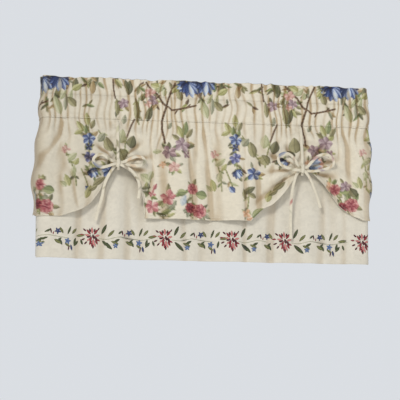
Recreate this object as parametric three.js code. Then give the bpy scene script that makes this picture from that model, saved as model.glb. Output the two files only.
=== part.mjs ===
// Tie-up valance: a gathered heading with a rod pocket, a printed face panel drawn up by two bows,
// and a plain under panel that shows below it. Millimetres, +Z up, the front faces -Y.
// The origin is the middle of the top edge.
import * as THREE from 'three';

// Driving sizes
const FRONT_WIDTH = 828;       // across the front, between the middles of the two returns
const RETURN_DEPTH = 60;       // from the front to the free edge of each return
const CORNER_RADIUS = 12;      // turn from the front into each return
const HEADER_HEIGHT = 47;      // frill above the rod pocket
const POCKET_HEIGHT = 60;      // between the two rows of stitching
const FACE_DROP = 355;         // top edge to the hem of the face panel
const OVERALL_DROP = 457;      // top edge to the hem of the under panel
const CLOTH = 1.5;             // thickness of a single cloth
const SEAM_GAP = 0.3;          // sewn pieces stand this far apart
const PANEL_SPREAD = 1.7;      // each panel's middle lies this far from the seam line
const TIE_WIDTH = 8.5;
const TIE_THICKNESS = 1.8;

// Worked out from them
const SEAM_Z = -(HEADER_HEIGHT + POCKET_HEIGHT);
const PANEL_TOP = SEAM_Z - SEAM_GAP;
const FACE_FLAT = FACE_DROP + SEAM_Z;
const FRONT_REACH = FRONT_WIDTH / 2 - CORNER_RADIUS;
const CORNER_ARC = CORNER_RADIUS * Math.PI / 2;
const PATH_END = FRONT_REACH + CORNER_ARC + RETURN_DEPTH - CORNER_RADIUS;

const lerp = THREE.MathUtils.lerp;
const clamp = THREE.MathUtils.clamp;
const smooth = (x, low, high) => THREE.MathUtils.smoothstep(x, low, high);
const bump = (x, width) => Math.exp(-((x / width) ** 2));

// The plan of the valance: a point and its outward normal, s millimetres along from the middle.
function plan(s) {
  const side = Math.sign(s) || 1;
  const run = Math.abs(s);
  if (run <= FRONT_REACH) return { x: s, y: 0, nx: 0, ny: -1 };
  const turn = Math.min((run - FRONT_REACH) / CORNER_RADIUS, Math.PI / 2);
  const back = Math.max(run - FRONT_REACH - CORNER_ARC, 0);
  return {
    x: side * (FRONT_REACH + CORNER_RADIUS * Math.sin(turn)),
    y: CORNER_RADIUS * (1 - Math.cos(turn)) + back,
    nx: side * Math.sin(turn),
    ny: -Math.cos(turn),
  };
}

// A cloth point: s along the plan, out from it, and its height.
function onPlan(s, out, z) {
  const p = plan(s);
  return new THREE.Vector3(p.x + p.nx * out, p.y + p.ny * out, z);
}

// The two tie-ups. reach is how much of the seam each side of the arch draws in. A row of an arch gives
// how far out from the knot the hem lies, and how far it is raised there.
const KNOT_Z = -221;
const HEM_RAISE = FACE_DROP + KNOT_Z;
const TIE_UPS = [
  {
    x: -233,
    left: {
      reach: 140,
      arch: [
        { out: 140, raise: 0 }, { out: 91, raise: 17 }, { out: 74, raise: 26 }, { out: 59, raise: 42 },
        { out: 44.5, raise: 62 }, { out: 30, raise: 97 },
        { out: 13, raise: 122 }, { out: 0, raise: HEM_RAISE },
      ],
    },
    right: {
      reach: 112,
      arch: [
        { out: 70.5, raise: 0 }, { out: 68, raise: 38 }, { out: 60, raise: 72 }, { out: 50, raise: 95 },
        { out: 32, raise: 114 }, { out: 0, raise: HEM_RAISE },
      ],
    },
  },
  {
    x: 235,
    left: {
      reach: 148,
      arch: [
        { out: 129, raise: 0 }, { out: 112, raise: 24 }, { out: 97, raise: 45 }, { out: 81, raise: 49 },
        { out: 57, raise: 65 }, { out: 31, raise: 96 },
        { out: 13, raise: 119 }, { out: 0, raise: HEM_RAISE },
      ],
    },
    right: {
      reach: 162,
      arch: [
        { out: 162, raise: 0 }, { out: 137, raise: 12 }, { out: 100, raise: 43 }, { out: 60, raise: 95 },
        { out: 41, raise: 110 }, { out: 23, raise: 128 }, { out: 0, raise: HEM_RAISE },
      ],
    },
  },
];
const END_RAISE = { from: 340, to: 400, rise: 9 };   // the hem hangs higher at its right end

// Columns of the cloth, span by span from the left return to the right one.
function columns(spans) {
  const places = [];
  spans.forEach((span, i) => {
    const to = i + 1 < spans.length ? spans[i + 1].from : PATH_END;
    for (let k = 0; k < span.count; k += 1) places.push(lerp(span.from, to, k / span.count));
  });
  return [...places, PATH_END];
}

const HEADING_COLUMNS = columns([
  { from: -PATH_END, count: 3 },
  { from: -FRONT_REACH - CORNER_ARC, count: 5 },
  { from: -FRONT_REACH, count: 50 },
  { from: FRONT_REACH, count: 5 },
  { from: FRONT_REACH + CORNER_ARC, count: 3 },
]);
const [LEFT_UP, RIGHT_UP] = TIE_UPS;
const PANEL_COLUMNS = columns([
  { from: -PATH_END, count: 3 },
  { from: -FRONT_REACH - CORNER_ARC, count: 3 },
  { from: -FRONT_REACH, count: 3 },
  { from: LEFT_UP.x - LEFT_UP.left.reach, count: 13 },
  { from: LEFT_UP.x, count: 12 },
  { from: LEFT_UP.x + LEFT_UP.right.reach, count: 13 },
  { from: RIGHT_UP.x - RIGHT_UP.left.reach, count: 13 },
  { from: RIGHT_UP.x, count: 14 },
  { from: RIGHT_UP.x + RIGHT_UP.right.reach, count: 1 },
  { from: FRONT_REACH, count: 3 },
  { from: FRONT_REACH + CORNER_ARC, count: 3 },
]);

// Uneven gathers of the heading, a row for each wave
const SEAM_GATHER = 0.3;       // share of the gathers left at a row of stitching
const GATHERS = [
  { pitch: 56, depth: 1.9, phase: 1.88 },
  { pitch: 83, depth: 1.3, phase: 2.3 },
  { pitch: 151, depth: 1.2, phase: 1.1 },
];

function gathers(s) {
  let out = 0;
  for (const g of GATHERS) out += g.depth * Math.sin(2 * Math.PI * s / g.pitch + g.phase);
  return out;
}

// Section of the heading from the top edge down: how far its front and back stand out, and how much of the
// gathers each takes. The pocket's front only puffs outwards, and its back lies smooth against the rod.
const HEADING_SECTION = [
  { z: 0, front: 1.2, back: -1.2, gather: 1.0, backGather: 1.0, puff: 0 },
  { z: -25, front: 1.3, back: -1.3, gather: 0.8, backGather: 0.8, puff: 0 },
  { z: -HEADER_HEIGHT, front: 1.7, back: -1.7, gather: SEAM_GATHER, backGather: SEAM_GATHER, puff: 0 },
  { z: -HEADER_HEIGHT - 9, front: 9.8, back: -5.6, gather: SEAM_GATHER, backGather: 0, puff: 1 },
  { z: -HEADER_HEIGHT - 28, front: 11.2, back: -6.0, gather: SEAM_GATHER, backGather: 0, puff: 1 },
  { z: -HEADER_HEIGHT - 50, front: 10.0, back: -5.8, gather: SEAM_GATHER, backGather: 0, puff: 1 },
  { z: SEAM_Z, front: 2.5, back: -2.5, gather: SEAM_GATHER, backGather: SEAM_GATHER, puff: 0 },
];
const POCKET_HOLLOW = [
  { z: -HEADER_HEIGHT - 4, front: 0.8, back: -0.6 },
  { z: -HEADER_HEIGHT - 11, front: 8.6, back: -4.4 },
  { z: -HEADER_HEIGHT - 28, front: 9.7, back: -4.8 },
  { z: -HEADER_HEIGHT - 48, front: 8.7, back: -4.5 },
  { z: SEAM_Z + 4, front: 0.8, back: -0.6 },
];
const PUFF = 1.3;              // keeps the pocket's front gathers clear of the hollow
const TOP_EDGE = { dip: 1.5, pitch: 182, phase: 0.8 };   // its slow rise and fall

// A row of the heading's section at any height.
function headingRow(z) {
  const rows = HEADING_SECTION;
  let i = 1;
  while (i < rows.length - 1 && z < rows[i].z) i += 1;
  const t = (rows[i - 1].z - z) / (rows[i - 1].z - rows[i].z);
  const between = (column) => lerp(rows[i - 1][column], rows[i][column], t);
  return { gather: between('gather'), backGather: between('backGather'), puff: between('puff') };
}

function sectionLoop(rows) {
  const front = rows.map((r) => new THREE.Vector2(r.front, r.z));
  const back = rows.map((r) => new THREE.Vector2(r.back, r.z)).reverse();
  return [...front, ...back];
}

// The heading: one section with its hollow, drawn along the plan and gathered.
function headingGeometry() {
  const section = new THREE.Shape(sectionLoop(HEADING_SECTION));
  section.holes.push(new THREE.Path(sectionLoop(POCKET_HOLLOW).reverse()));
  const steps = HEADING_COLUMNS.length - 1;
  const geometry = new THREE.ExtrudeGeometry(section, { depth: 1, steps, bevelEnabled: false });
  return mapped(geometry, (out, z, along) => {
    const s = HEADING_COLUMNS[steps - Math.round(along * steps)];
    const row = headingRow(z);
    const wave = out > 0 ? gathers(s) * row.gather + PUFF * row.puff : gathers(s) * row.backGather;
    const rise = Math.sin(2 * Math.PI * s / TOP_EDGE.pitch + TOP_EDGE.phase);
    const dip = TOP_EDGE.dip * (1 + rise) * smooth(z, -HEADER_HEIGHT, 0);
    return onPlan(s, out + wave, z - dip);
  });
}

// Moves every vertex of a geometry by a function of its three coordinates.
function mapped(geometry, place) {
  const position = geometry.attributes.position;
  for (let i = 0; i < position.count; i += 1) {
    const p = place(position.getX(i), position.getY(i), position.getZ(i));
    position.setXYZ(i, p.x, p.y, p.z);
  }
  geometry.computeVertexNormals();
  return geometry;
}

const LEAN_FADE = 90;          // beyond an arch the drawn-in cloth straightens over this length

// A point of an arch, a share of the way along its edge from the far end to the knot.
function alongArch(rows, share) {
  const lengths = [0];
  for (let i = 1; i < rows.length; i += 1) {
    const step = Math.hypot(rows[i].out - rows[i - 1].out, rows[i].raise - rows[i - 1].raise);
    lengths.push(lengths[i - 1] + step);
  }
  const wanted = share * lengths[rows.length - 1];
  let i = 1;
  while (i < rows.length - 1 && lengths[i] < wanted) i += 1;
  const t = (wanted - lengths[i - 1]) / (lengths[i] - lengths[i - 1]);
  return { out: lerp(rows[i - 1].out, rows[i].out, t), raise: lerp(rows[i - 1].raise, rows[i].raise, t) };
}

// Where the hem hangs for the cloth that leaves the seam at s.
function hemAt(s) {
  const low = END_RAISE.rise * smooth(s, END_RAISE.from, END_RAISE.to) - FACE_DROP;
  let x = s;
  for (const tie of TIE_UPS) {
    const way = s < tie.x ? -1 : 1;
    const side = way < 0 ? tie.left : tie.right;
    const away = Math.abs(s - tie.x);
    if (away <= side.reach) {
      const point = alongArch(side.arch, 1 - away / side.reach);
      return { x: tie.x + way * point.out, z: low + point.raise };
    }
    const drawn = side.reach - side.arch[0].out;
    x -= way * drawn * (1 - smooth(away, side.reach, side.reach + LEAN_FADE));
  }
  return { x, z: low };
}

// Soft upright folds: where each lies, how wide and how deep it is, and how far it leans by the hem.
const UNDER_FOLDS = [
  { x: -395, width: 30, depth: 5, lean: -6 },
  { x: -318, width: 26, depth: -5, lean: 4 },
  { x: -232, width: 20, depth: 6, lean: -4 },
  { x: -178, width: 22, depth: -4, lean: 6 },
  { x: -96, width: 30, depth: 5, lean: 0 },
  { x: -8, width: 24, depth: -5, lean: 5 },
  { x: 74, width: 30, depth: 4, lean: -3 },
  { x: 150, width: 22, depth: -4, lean: 3 },
  { x: 262, width: 24, depth: 5, lean: -5 },
  { x: 316, width: 22, depth: -5, lean: 6 },
  { x: 372, width: 28, depth: 4, lean: 4 },
];
const FACE_FOLDS = [
  { x: -360, width: 26, depth: -8, lean: -36 },
  { x: -318, width: 22, depth: 6, lean: -10 },
  { x: -120, width: 20, depth: -6, lean: 8 },
  { x: -75, width: 26, depth: 5, lean: 6 },
  { x: -34, width: 15, depth: -7, lean: -4 },
  { x: 18, width: 20, depth: -9, lean: 4 },
  { x: 78, width: 28, depth: 6, lean: 0 },
  { x: 138, width: 18, depth: -8, lean: -6 },
  { x: 352, width: 16, depth: -6, lean: 8 },
  { x: 384, width: 14, depth: 5, lean: 4 },
];

function folds(rows, x, fall) {
  let out = 0;
  for (const f of rows) out += f.depth * bump(x - f.x - f.lean * fall, f.width);
  return out;
}

// How far each end of the valance swings out by the hem.
const UNDER_FLARE = { left: 11, right: -2 };
const FACE_FLARE = { left: -3, right: -6 };
const FLARE_FROM = 250;        // begins this far from the middle

function flare(ends, s) {
  const share = smooth(Math.abs(s), FLARE_FROM, FRONT_REACH);
  return share * (s < 0 ? ends.left : ends.right);
}

const UNDER_LOOSE = 0.5;       // share of the fall where the under panel's folds are full

// How far the under panel stands out from the plan at a height.
function underOut(s, z) {
  const fall = (PANEL_TOP - z) / (PANEL_TOP + OVERALL_DROP);
  const loose = smooth(fall, 0, UNDER_LOOSE);
  const seam = gathers(s) * SEAM_GATHER * (1 - loose) - PANEL_SPREAD;
  return seam + loose * (folds(UNDER_FOLDS, s, fall) + flare(UNDER_FLARE, s));
}

const FACE_LIFT = 10;          // how far the loose face panel stands off the under panel
const BUNCH_FOLDS = 2.3;       // folds stacked above each knot
const BUNCH_SHARE = 0.55;      // how full those folds stand
const BUNCH_FULL = 0.55;       // share of the way down where they are full
const STRAP = { press: 0.5, reach: 11 };              // how much a strap flattens them, and how far across
const KNOT = { pinch: 0.55, reach: 28, from: 0.5 };   // how a knot draws the hem together
const TIE_ROOM = { depth: 5, full: 0.08 };            // space behind the face panel for the back tie
const FACE_LOOSE = 0.35;       // share of the way down where the face panel's folds are full
const CALM_SLACK = 60;         // with more slack than this the cloth has only stacked folds
const DRAW_EASE = 0.4;         // how softly the cloth leans towards the knot

// The middle of the face panel: s along the seam, v from the seam to the hem.
function facePoint(s, v) {
  const hem = hemAt(s);
  const x = lerp(s, hem.x, lerp(v, smooth(v, 0, 1), DRAW_EASE));
  const z = lerp(PANEL_TOP, hem.z, v);
  const length = Math.hypot(hem.x - s, PANEL_TOP - hem.z);
  const slack = Math.max(FACE_FLAT - length, 0);
  let press = 0;
  let pinch = 0;
  for (const tie of TIE_UPS) {
    press += bump(x - tie.x, STRAP.reach);
    pinch += bump(x - tie.x, KNOT.reach) * smooth(v, KNOT.from, 1);
  }
  const held = (1 - STRAP.press * press) * (1 - KNOT.pinch * pinch);
  const depth = held * BUNCH_SHARE * Math.sqrt(slack * length) / (Math.PI * BUNCH_FOLDS);
  const bunch = depth * (1 - Math.cos(2 * Math.PI * BUNCH_FOLDS * v)) * smooth(v, 0, BUNCH_FULL);
  const loose = smooth(v, 0, FACE_LOOSE);
  const room = TIE_ROOM.depth * press * smooth(v, 0, TIE_ROOM.full);
  const calm = 1 - smooth(slack, 0, CALM_SLACK);
  const soft = loose * (FACE_LIFT + calm * folds(FACE_FOLDS, x, v) + flare(FACE_FLARE, x) * v);
  return onPlan(x, underOut(x, z) + 2 * PANEL_SPREAD + soft + room + bunch, z);
}

function underPoint(s, v) {
  const z = lerp(PANEL_TOP, -OVERALL_DROP, v);
  return onPlan(s, underOut(s, z), z);
}

const FACE_ROWS = 17;
const UNDER_ROWS = 6;
const NUDGE = 0.002;            // step for the slope of the cloth

// A cloth of even thickness on a surface point(s, v). Its top edge is cut level.
function clothGeometry(point, rows) {
  const last = PANEL_COLUMNS.length - 1;
  const geometry = new THREE.BoxGeometry(1, 1, 1, last, rows, 1);
  return mapped(geometry, (across, up, side) => {
    const s = PANEL_COLUMNS[Math.round((across + 0.5) * last)];
    const v = 0.5 - up;
    const step = NUDGE * PATH_END;
    const after = point(clamp(s + step, -PATH_END, PATH_END), v);
    const before = point(clamp(s - step, -PATH_END, PATH_END), v);
    const alongS = after.sub(before);
    const alongV = point(s, Math.min(v + NUDGE, 1)).sub(point(s, Math.max(v - NUDGE, 0)));
    const normal = alongV.cross(alongS);
    if (v === 0) normal.z = 0;
    return point(s, v).addScaledVector(normal.normalize(), side * CLOTH);
  });
}

// The ties. A front tie is sewn into the seam over the face panel and a back tie behind it. Each runs to the
// knot, out round a loop, back through the knot and on to its free end. A row is a point of the route: x and
// z from the knot, and how far out from the plan. The four passes through a knot lie one over another.
const FRONT_STRAP = [
  { x: 0, z: 112.4, out: 5.4 }, { x: 0, z: 104.5, out: 13.6 },
  { x: 0, z: 94, out: 19.6 }, { x: 0, z: 77, out: 23.4 },
  { x: 0, z: 59, out: 25.5 }, { x: 0, z: 43, out: 30.5 },
  { x: 0, z: 25, out: 31.7 }, { x: 0, z: 10, out: 31.6 },
];
const BACK_STRAP = [
  { x: 0, z: 110, out: 0.6 }, { x: 0, z: 99, out: 4 }, { x: 0, z: 66, out: 6 }, { x: 0, z: 28, out: 7 },
  { x: 1, z: 0, out: 8 }, { x: 1, z: -12, out: 12.5 },
  { x: 1, z: -15.5, out: 19 }, { x: 1, z: -15.5, out: 25 },
  { x: 1, z: -12, out: 28.8 }, { x: 1, z: -5, out: 29 },
];
const TIES = [
  {
    name: 'left_front_tie',
    at: 0,
    route: [
      ...FRONT_STRAP,
      { x: 3, z: 2, out: 31.5 }, { x: 13, z: 2, out: 32.8 },
      { x: 27, z: 9, out: 35 }, { x: 46, z: 16, out: 36 },
      { x: 61, z: 14, out: 36 }, { x: 67, z: 4, out: 35.5 }, { x: 58, z: -5, out: 34.5 },
      { x: 40, z: -6, out: 33 }, { x: 22, z: -4, out: 30 }, { x: 9, z: -4, out: 26.2 },
      { x: -3, z: -5, out: 26 }, { x: -12, z: -14, out: 27.8 }, { x: -23, z: -32, out: 28 },
      { x: -32, z: -53, out: 25 }, { x: -38, z: -86, out: 20 }, { x: -46, z: -114, out: 16 },
      { x: -52, z: -142, out: 13 },
    ],
  },
  {
    name: 'left_back_tie',
    at: 0,
    route: [
      ...BACK_STRAP,
      { x: -3, z: 2, out: 28.8 }, { x: -12, z: 4, out: 31.5 }, { x: -24, z: 9, out: 36.5 },
      { x: -40, z: 18, out: 37 }, { x: -54, z: 16, out: 37 }, { x: -62, z: 5, out: 37 },
      { x: -56, z: -7, out: 37 }, { x: -42, z: -13, out: 36.8 }, { x: -24, z: -9, out: 36 },
      { x: -10, z: -4, out: 34.9 }, { x: 2, z: -4, out: 34.5 }, { x: 13, z: -8, out: 35.4 },
      { x: 28, z: -15, out: 35 }, { x: 42, z: -27, out: 31 }, { x: 52, z: -44, out: 26.5 },
      { x: 55, z: -62, out: 24 }, { x: 53, z: -86, out: 21 },
    ],
  },
  {
    name: 'right_front_tie',
    at: 1,
    route: [
      ...FRONT_STRAP,
      { x: 3, z: 2, out: 31.5 }, { x: 12, z: 4, out: 32.8 },
      { x: 24, z: 17, out: 35 }, { x: 42, z: 33, out: 35 },
      { x: 62, z: 37, out: 34 }, { x: 78, z: 28, out: 33 },
      { x: 81, z: 14, out: 32.5 }, { x: 69, z: 4, out: 32.5 },
      { x: 48, z: -3, out: 32 }, { x: 26, z: -6, out: 30 }, { x: 10, z: -5, out: 26.2 },
      { x: -3, z: -5, out: 25.8 }, { x: -13, z: -13, out: 27.4 }, { x: -21, z: -36, out: 28 },
      { x: -26, z: -66, out: 23 }, { x: -27, z: -115, out: 16 }, { x: -26, z: -176, out: 11 },
    ],
  },
  {
    name: 'right_back_tie',
    at: 1,
    route: [
      ...BACK_STRAP,
      { x: -4, z: 2, out: 28.7 }, { x: -12, z: 9, out: 31.5 },
      { x: -21, z: 23, out: 36.8 }, { x: -36, z: 35, out: 37 },
      { x: -53, z: 35, out: 36 }, { x: -63, z: 24, out: 36 }, { x: -59, z: 10, out: 36.5 },
      { x: -44, z: 1, out: 37 }, { x: -25, z: -4, out: 37 }, { x: -10, z: -5, out: 34.9 },
      { x: 2, z: -5, out: 34.4 }, { x: 11, z: -13, out: 33.2 }, { x: 24, z: -31, out: 28 },
      { x: 32, z: -49, out: 24 }, { x: 41, z: -69, out: 20 }, { x: 50, z: -97, out: 16 },
    ],
  },
];
const TIE_STEPS = 46;
const EDGE_KEEP = 0.25;        // how much of its last direction the band's edge keeps
const TIE_SECTION = [
  { across: 1, through: 0.4 }, { across: 0.8, through: 1 }, { across: -0.8, through: 1 },
  { across: -1, through: 0.4 }, { across: -1, through: -0.4 }, { across: -0.8, through: -1 },
  { across: 0.8, through: -1 }, { across: 1, through: -0.4 },
];

// The band's middle, its edge and its face at every step of a route. The edge never turns over.
function tieFrames(tie) {
  const knot = TIE_UPS[tie.at];
  const points = tie.route.map((p) => new THREE.Vector3(knot.x + p.x, -p.out, KNOT_Z + p.z));
  const curve = new THREE.CatmullRomCurve3(points, false, 'centripetal');
  const front = new THREE.Vector3(0, -1, 0);
  const frames = [];
  let last = new THREE.Vector3(1, 0, 0);
  for (let i = 0; i <= TIE_STEPS; i += 1) {
    const tangent = curve.getTangentAt(i / TIE_STEPS);
    const edge = front.clone().cross(tangent);
    if (edge.dot(last) < 0) edge.negate();
    edge.addScaledVector(last, EDGE_KEEP);
    edge.addScaledVector(tangent, -edge.dot(tangent)).normalize();
    frames.push({ centre: curve.getPointAt(i / TIE_STEPS), edge, face: tangent.clone().cross(edge) });
    last = edge;
  }
  return frames;
}

function tieGeometry(tie) {
  const frames = tieFrames(tie);
  const half = new THREE.Vector2(TIE_WIDTH / 2, TIE_THICKNESS / 2);
  const corners = TIE_SECTION.map((c) => new THREE.Vector2(c.across, c.through).multiply(half));
  const section = new THREE.Shape(corners);
  const geometry = new THREE.ExtrudeGeometry(section, { depth: 1, steps: TIE_STEPS, bevelEnabled: false });
  return mapped(geometry, (across, through, along) => {
    const frame = frames[Math.round(along * TIE_STEPS)];
    return frame.centre.clone().addScaledVector(frame.edge, across).addScaledVector(frame.face, through);
  });
}

const PRINTED = { color: 0xe2d8c2, roughness: 0.85, metalness: 0 };
const PLAIN = { color: 0xe8e0cd, roughness: 0.85, metalness: 0 };

const valance = new THREE.Group();
function add(name, geometry, finish) {
  const mesh = new THREE.Mesh(geometry, new THREE.MeshStandardMaterial(finish));
  mesh.name = name;
  valance.add(mesh);
}

add('heading', headingGeometry(), PRINTED);
add('face_panel', clothGeometry(facePoint, FACE_ROWS), PRINTED);
add('under_panel', clothGeometry(underPoint, UNDER_ROWS), PLAIN);
for (const tie of TIES) add(tie.name, tieGeometry(tie), PRINTED);

export default valance;
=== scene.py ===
# %% [markdown]
# # A tie-up valance
# A valance is a short curtain that hangs from a rod. This one is three cloths and two bows: a
# gathered heading with a pocket for the rod, a printed panel that two bows draw up in arches, and a
# plain panel behind it with an embroidered border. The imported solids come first, because every cloth
# here is laid on one of them.

# %% Load the solids
import math
import random
import bpy
import numpy as np
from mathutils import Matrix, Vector
from mathutils.geometry import tessellate_polygon


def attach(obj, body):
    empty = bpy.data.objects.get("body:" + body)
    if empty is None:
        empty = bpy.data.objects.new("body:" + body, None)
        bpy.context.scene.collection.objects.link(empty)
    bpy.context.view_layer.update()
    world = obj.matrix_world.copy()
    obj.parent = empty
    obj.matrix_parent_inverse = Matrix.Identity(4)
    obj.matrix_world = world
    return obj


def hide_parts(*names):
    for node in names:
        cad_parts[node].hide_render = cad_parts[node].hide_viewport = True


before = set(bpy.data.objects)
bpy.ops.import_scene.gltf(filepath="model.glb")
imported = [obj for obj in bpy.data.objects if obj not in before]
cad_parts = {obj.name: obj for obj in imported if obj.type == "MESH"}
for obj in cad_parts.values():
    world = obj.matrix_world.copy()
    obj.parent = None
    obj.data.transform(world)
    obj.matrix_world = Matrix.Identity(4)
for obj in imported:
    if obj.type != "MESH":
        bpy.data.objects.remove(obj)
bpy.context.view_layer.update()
MM = 0.001
print("solids", sorted(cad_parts))

# %% [markdown]
# ## The camera
# The photograph looks up at the valance from below and a little to the left, from several metres away.
# A long lens keeps the top and bottom edges nearly parallel. The place and the two angles were found by
# fitting the corners, the stitch lines and the hem of the solids to where they lie in the picture.

# %% Camera
CAMERA_AT = (-0.9174, -4.6096, -0.9785)
CAMERA_TURN, CAMERA_RISE = 0.19209, 0.14274   # radians
LENS = 171                                    # millimetres
bpy.ops.object.camera_add(location=CAMERA_AT, rotation=(math.pi / 2 + CAMERA_RISE, 0, -CAMERA_TURN))
camera = bpy.context.object
camera.data.lens = LENS
camera.data.clip_end = 100
bpy.context.scene.camera = camera
print("camera", [round(c, 3) for c in camera.location])

# %% [markdown]
# ## The plan
# Seen from above, the valance runs along the front of the rod and turns back round each of its ends.
# A place on the cloth is told by s, how far along this line it is from the middle, by how far it stands
# out from the line, and by its height. All the tables below are in millimetres.

# %% Plan of the valance
FRONT_REACH = 402.0        # from the middle to where a corner begins
CORNER = 12.0              # radius of a corner
RETURN = 48.0              # from a corner to the free edge
ARC = CORNER * math.pi / 2
PATH_END = FRONT_REACH + ARC + RETURN
STITCH_Z = -47.0           # upper row of stitches, under the frill
SEAM_Z = -107.0            # lower row, where both panels are sewn on
PANEL_TOP = SEAM_Z - 0.3
FACE_DROP = 355.0          # from the top edge to the hem of the printed panel
DROP = 457.0               # and to the hem of the plain one


def on_plan(s, out, z):
    side = np.where(s < 0, -1.0, 1.0)
    run = np.abs(s)
    turn = np.clip((run - FRONT_REACH) / CORNER, 0, math.pi / 2)
    back = np.maximum(run - FRONT_REACH - ARC, 0)
    x = side * (np.minimum(run, FRONT_REACH) + (CORNER + out) * np.sin(turn))
    y = CORNER - (CORNER + out) * np.cos(turn) + back
    return np.stack(np.broadcast_arrays(x, y, z), -1)


print("path", round(2 * PATH_END), "mm from end to end")

# %% [markdown]
# Four small formulas are used throughout. `smooth` goes from 0 to 1 and is level at both ends, `bump` is
# a soft hill, `lopsided` is a hill with a width of its own on each side, and `beside` is a place some
# way off in a direction given in degrees.

# %% Formulas
def smooth(x, low, high):
    t = np.clip((x - low) / (high - low), 0, 1)
    return t * t * (3 - 2 * t)


def bump(x, width):
    return np.exp(-(x / width) ** 2)


def lopsided(x, left, right):
    return np.where(x < 0, bump(x, left), bump(x, right))


def cos_sin(turn):
    return math.cos(math.radians(turn)), math.sin(math.radians(turn))


def beside(x, z, turn, far):
    c, s = cos_sin(turn)
    return x + far * c, z + far * s


# %% [markdown]
# ## The ties
# Each bow is made of two flat ties, sewn into the seam in front of the printed panel and behind it. A
# tie could be a curve with a flat bevel, but a curve twists where it turns back. So the band is built
# step by step along its route, and its edge is carried from one step to the next. The route points are
# those of the solids: x and z from the knot, and how far out from the plan.

# %% Routes of the ties
KNOT_Z = -221.0
KNOTS = {"left": -233.0, "right": 235.0}
FRONT_STRAP = [
    (0, 112.4, 5.4), (0, 104.5, 13.6), (0, 94, 19.6), (0, 77, 23.4),
    (0, 59, 25.5), (0, 43, 30.5), (0, 25, 31.7), (0, 10, 31.6),
]
BACK_STRAP = [
    (0, 110, 0.6), (0, 99, 4), (0, 66, 6), (0, 28, 7), (1, 0, 8),
    (1, -12, 12.5), (1, -15.5, 19), (1, -15.5, 25), (1, -12, 28.8), (1, -5, 29),
]
ROUTES = {  # x, z, out
    "left_front_tie": FRONT_STRAP + [
        (3, 2, 31.5), (13, 2, 32.8), (27, 9, 35), (46, 16, 36), (61, 14, 36), (67, 4, 35.5),
        (58, -5, 34.5), (40, -6, 33), (22, -4, 30), (9, -4, 26.2), (-3, -5, 26), (-12, -14, 27.8),
        (-23, -32, 28), (-32, -53, 25), (-38, -86, 20), (-46, -114, 16), (-52, -142, 13),
    ],
    "left_back_tie": BACK_STRAP + [
        (-3, 2, 28.8), (-12, 4, 31.5), (-24, 9, 36.5), (-40, 18, 37), (-54, 16, 37), (-62, 5, 37),
        (-56, -7, 37), (-42, -13, 36.8), (-24, -9, 36), (-10, -4, 34.9), (2, -4, 34.5), (13, -8, 35.4),
        (28, -15, 35), (42, -27, 31), (52, -44, 26.5), (55, -62, 24), (53, -86, 21),
    ],
    "right_front_tie": FRONT_STRAP + [
        (3, 2, 31.5), (12, 4, 32.8), (24, 17, 35), (42, 33, 35), (62, 37, 34), (78, 28, 33),
        (81, 14, 32.5), (69, 4, 32.5), (48, -3, 32), (26, -6, 30), (10, -5, 26.2), (-3, -5, 25.8),
        (-13, -13, 27.4), (-21, -36, 28), (-26, -66, 23), (-27, -115, 16), (-26, -176, 11),
    ],
    "right_back_tie": BACK_STRAP + [
        (-4, 2, 28.7), (-12, 9, 31.5), (-21, 23, 36.8), (-36, 35, 37), (-53, 35, 36), (-63, 24, 36),
        (-59, 10, 36.5), (-44, 1, 37), (-25, -4, 37), (-10, -5, 34.9), (2, -5, 34.4), (11, -13, 33.2),
        (24, -31, 28), (32, -49, 24), (41, -69, 20), (50, -97, 16),
    ],
}


def knot_route(name, rows):
    x = KNOTS[name.split("_")[0]]
    return [(x + dx, -out, KNOT_Z + dz) for dx, dz, out in rows]


print("routes", {name: len(rows) for name, rows in ROUTES.items()})

# %% [markdown]
# A route is about 25 points, and the band needs a smooth line through all of them. The line is a spline
# whose spacing keeps it from looping at close points. It is then stepped off evenly, as a tape measure
# would.

# %% A smooth line through points
def smooth_line(points, count):
    """Points at even steps along a spline through the given ones, and its length."""
    p = np.array(points, float)
    p = np.vstack([2 * p[0] - p[1], p, 2 * p[-1] - p[-2]])
    dense = []
    for a, b, c, d in zip(p[:-3], p[1:-2], p[2:-1], p[3:]):
        t1 = np.linalg.norm(b - a) ** 0.5
        t2 = t1 + np.linalg.norm(c - b) ** 0.5
        t3 = t2 + np.linalg.norm(d - c) ** 0.5
        t = np.linspace(t1, t2, 30, endpoint=False)[:, None]
        ab = a * (t1 - t) / t1 + b * t / t1
        bc = b * (t2 - t) / (t2 - t1) + c * (t - t1) / (t2 - t1)
        cd = c * (t3 - t) / (t3 - t2) + d * (t - t2) / (t3 - t2)
        abc = ab * (t2 - t) / t2 + bc * t / t2
        bcd = bc * (t3 - t) / (t3 - t1) + cd * (t - t1) / (t3 - t1)
        dense.append(abc * (t2 - t) / (t2 - t1) + bcd * (t - t1) / (t2 - t1))
    dense = np.vstack([*dense, p[-2:-1]])
    run = np.concatenate([[0], np.cumsum(np.linalg.norm(np.diff(dense, axis=0), axis=1))])
    even = np.linspace(0, run[-1], count)
    return np.stack([np.interp(even, run, dense[:, k]) for k in range(3)], -1), run[-1]


# %% [markdown]
# A mesh is made from plain lists of points and faces. Most pieces are a grid of points, laid flat or
# rolled up, and `quads` gives a face to each of its squares. `new_piece` also stores the flat cloth
# coordinates and the dye of every point, with its painted shade, so that the finishes below can follow the
# cloth.

# %% Mesh helpers
ACROSS_FIRST, DOWN_FIRST = (0, 3, 2, 1), (0, 1, 2, 3)   # the two ways round a square


def quads(grid, order):
    corners = (grid[:-1, :-1], grid[1:, :-1], grid[1:, 1:], grid[:-1, 1:])
    return np.stack([corners[k] for k in order], -1).reshape(-1, 4).tolist()


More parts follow.
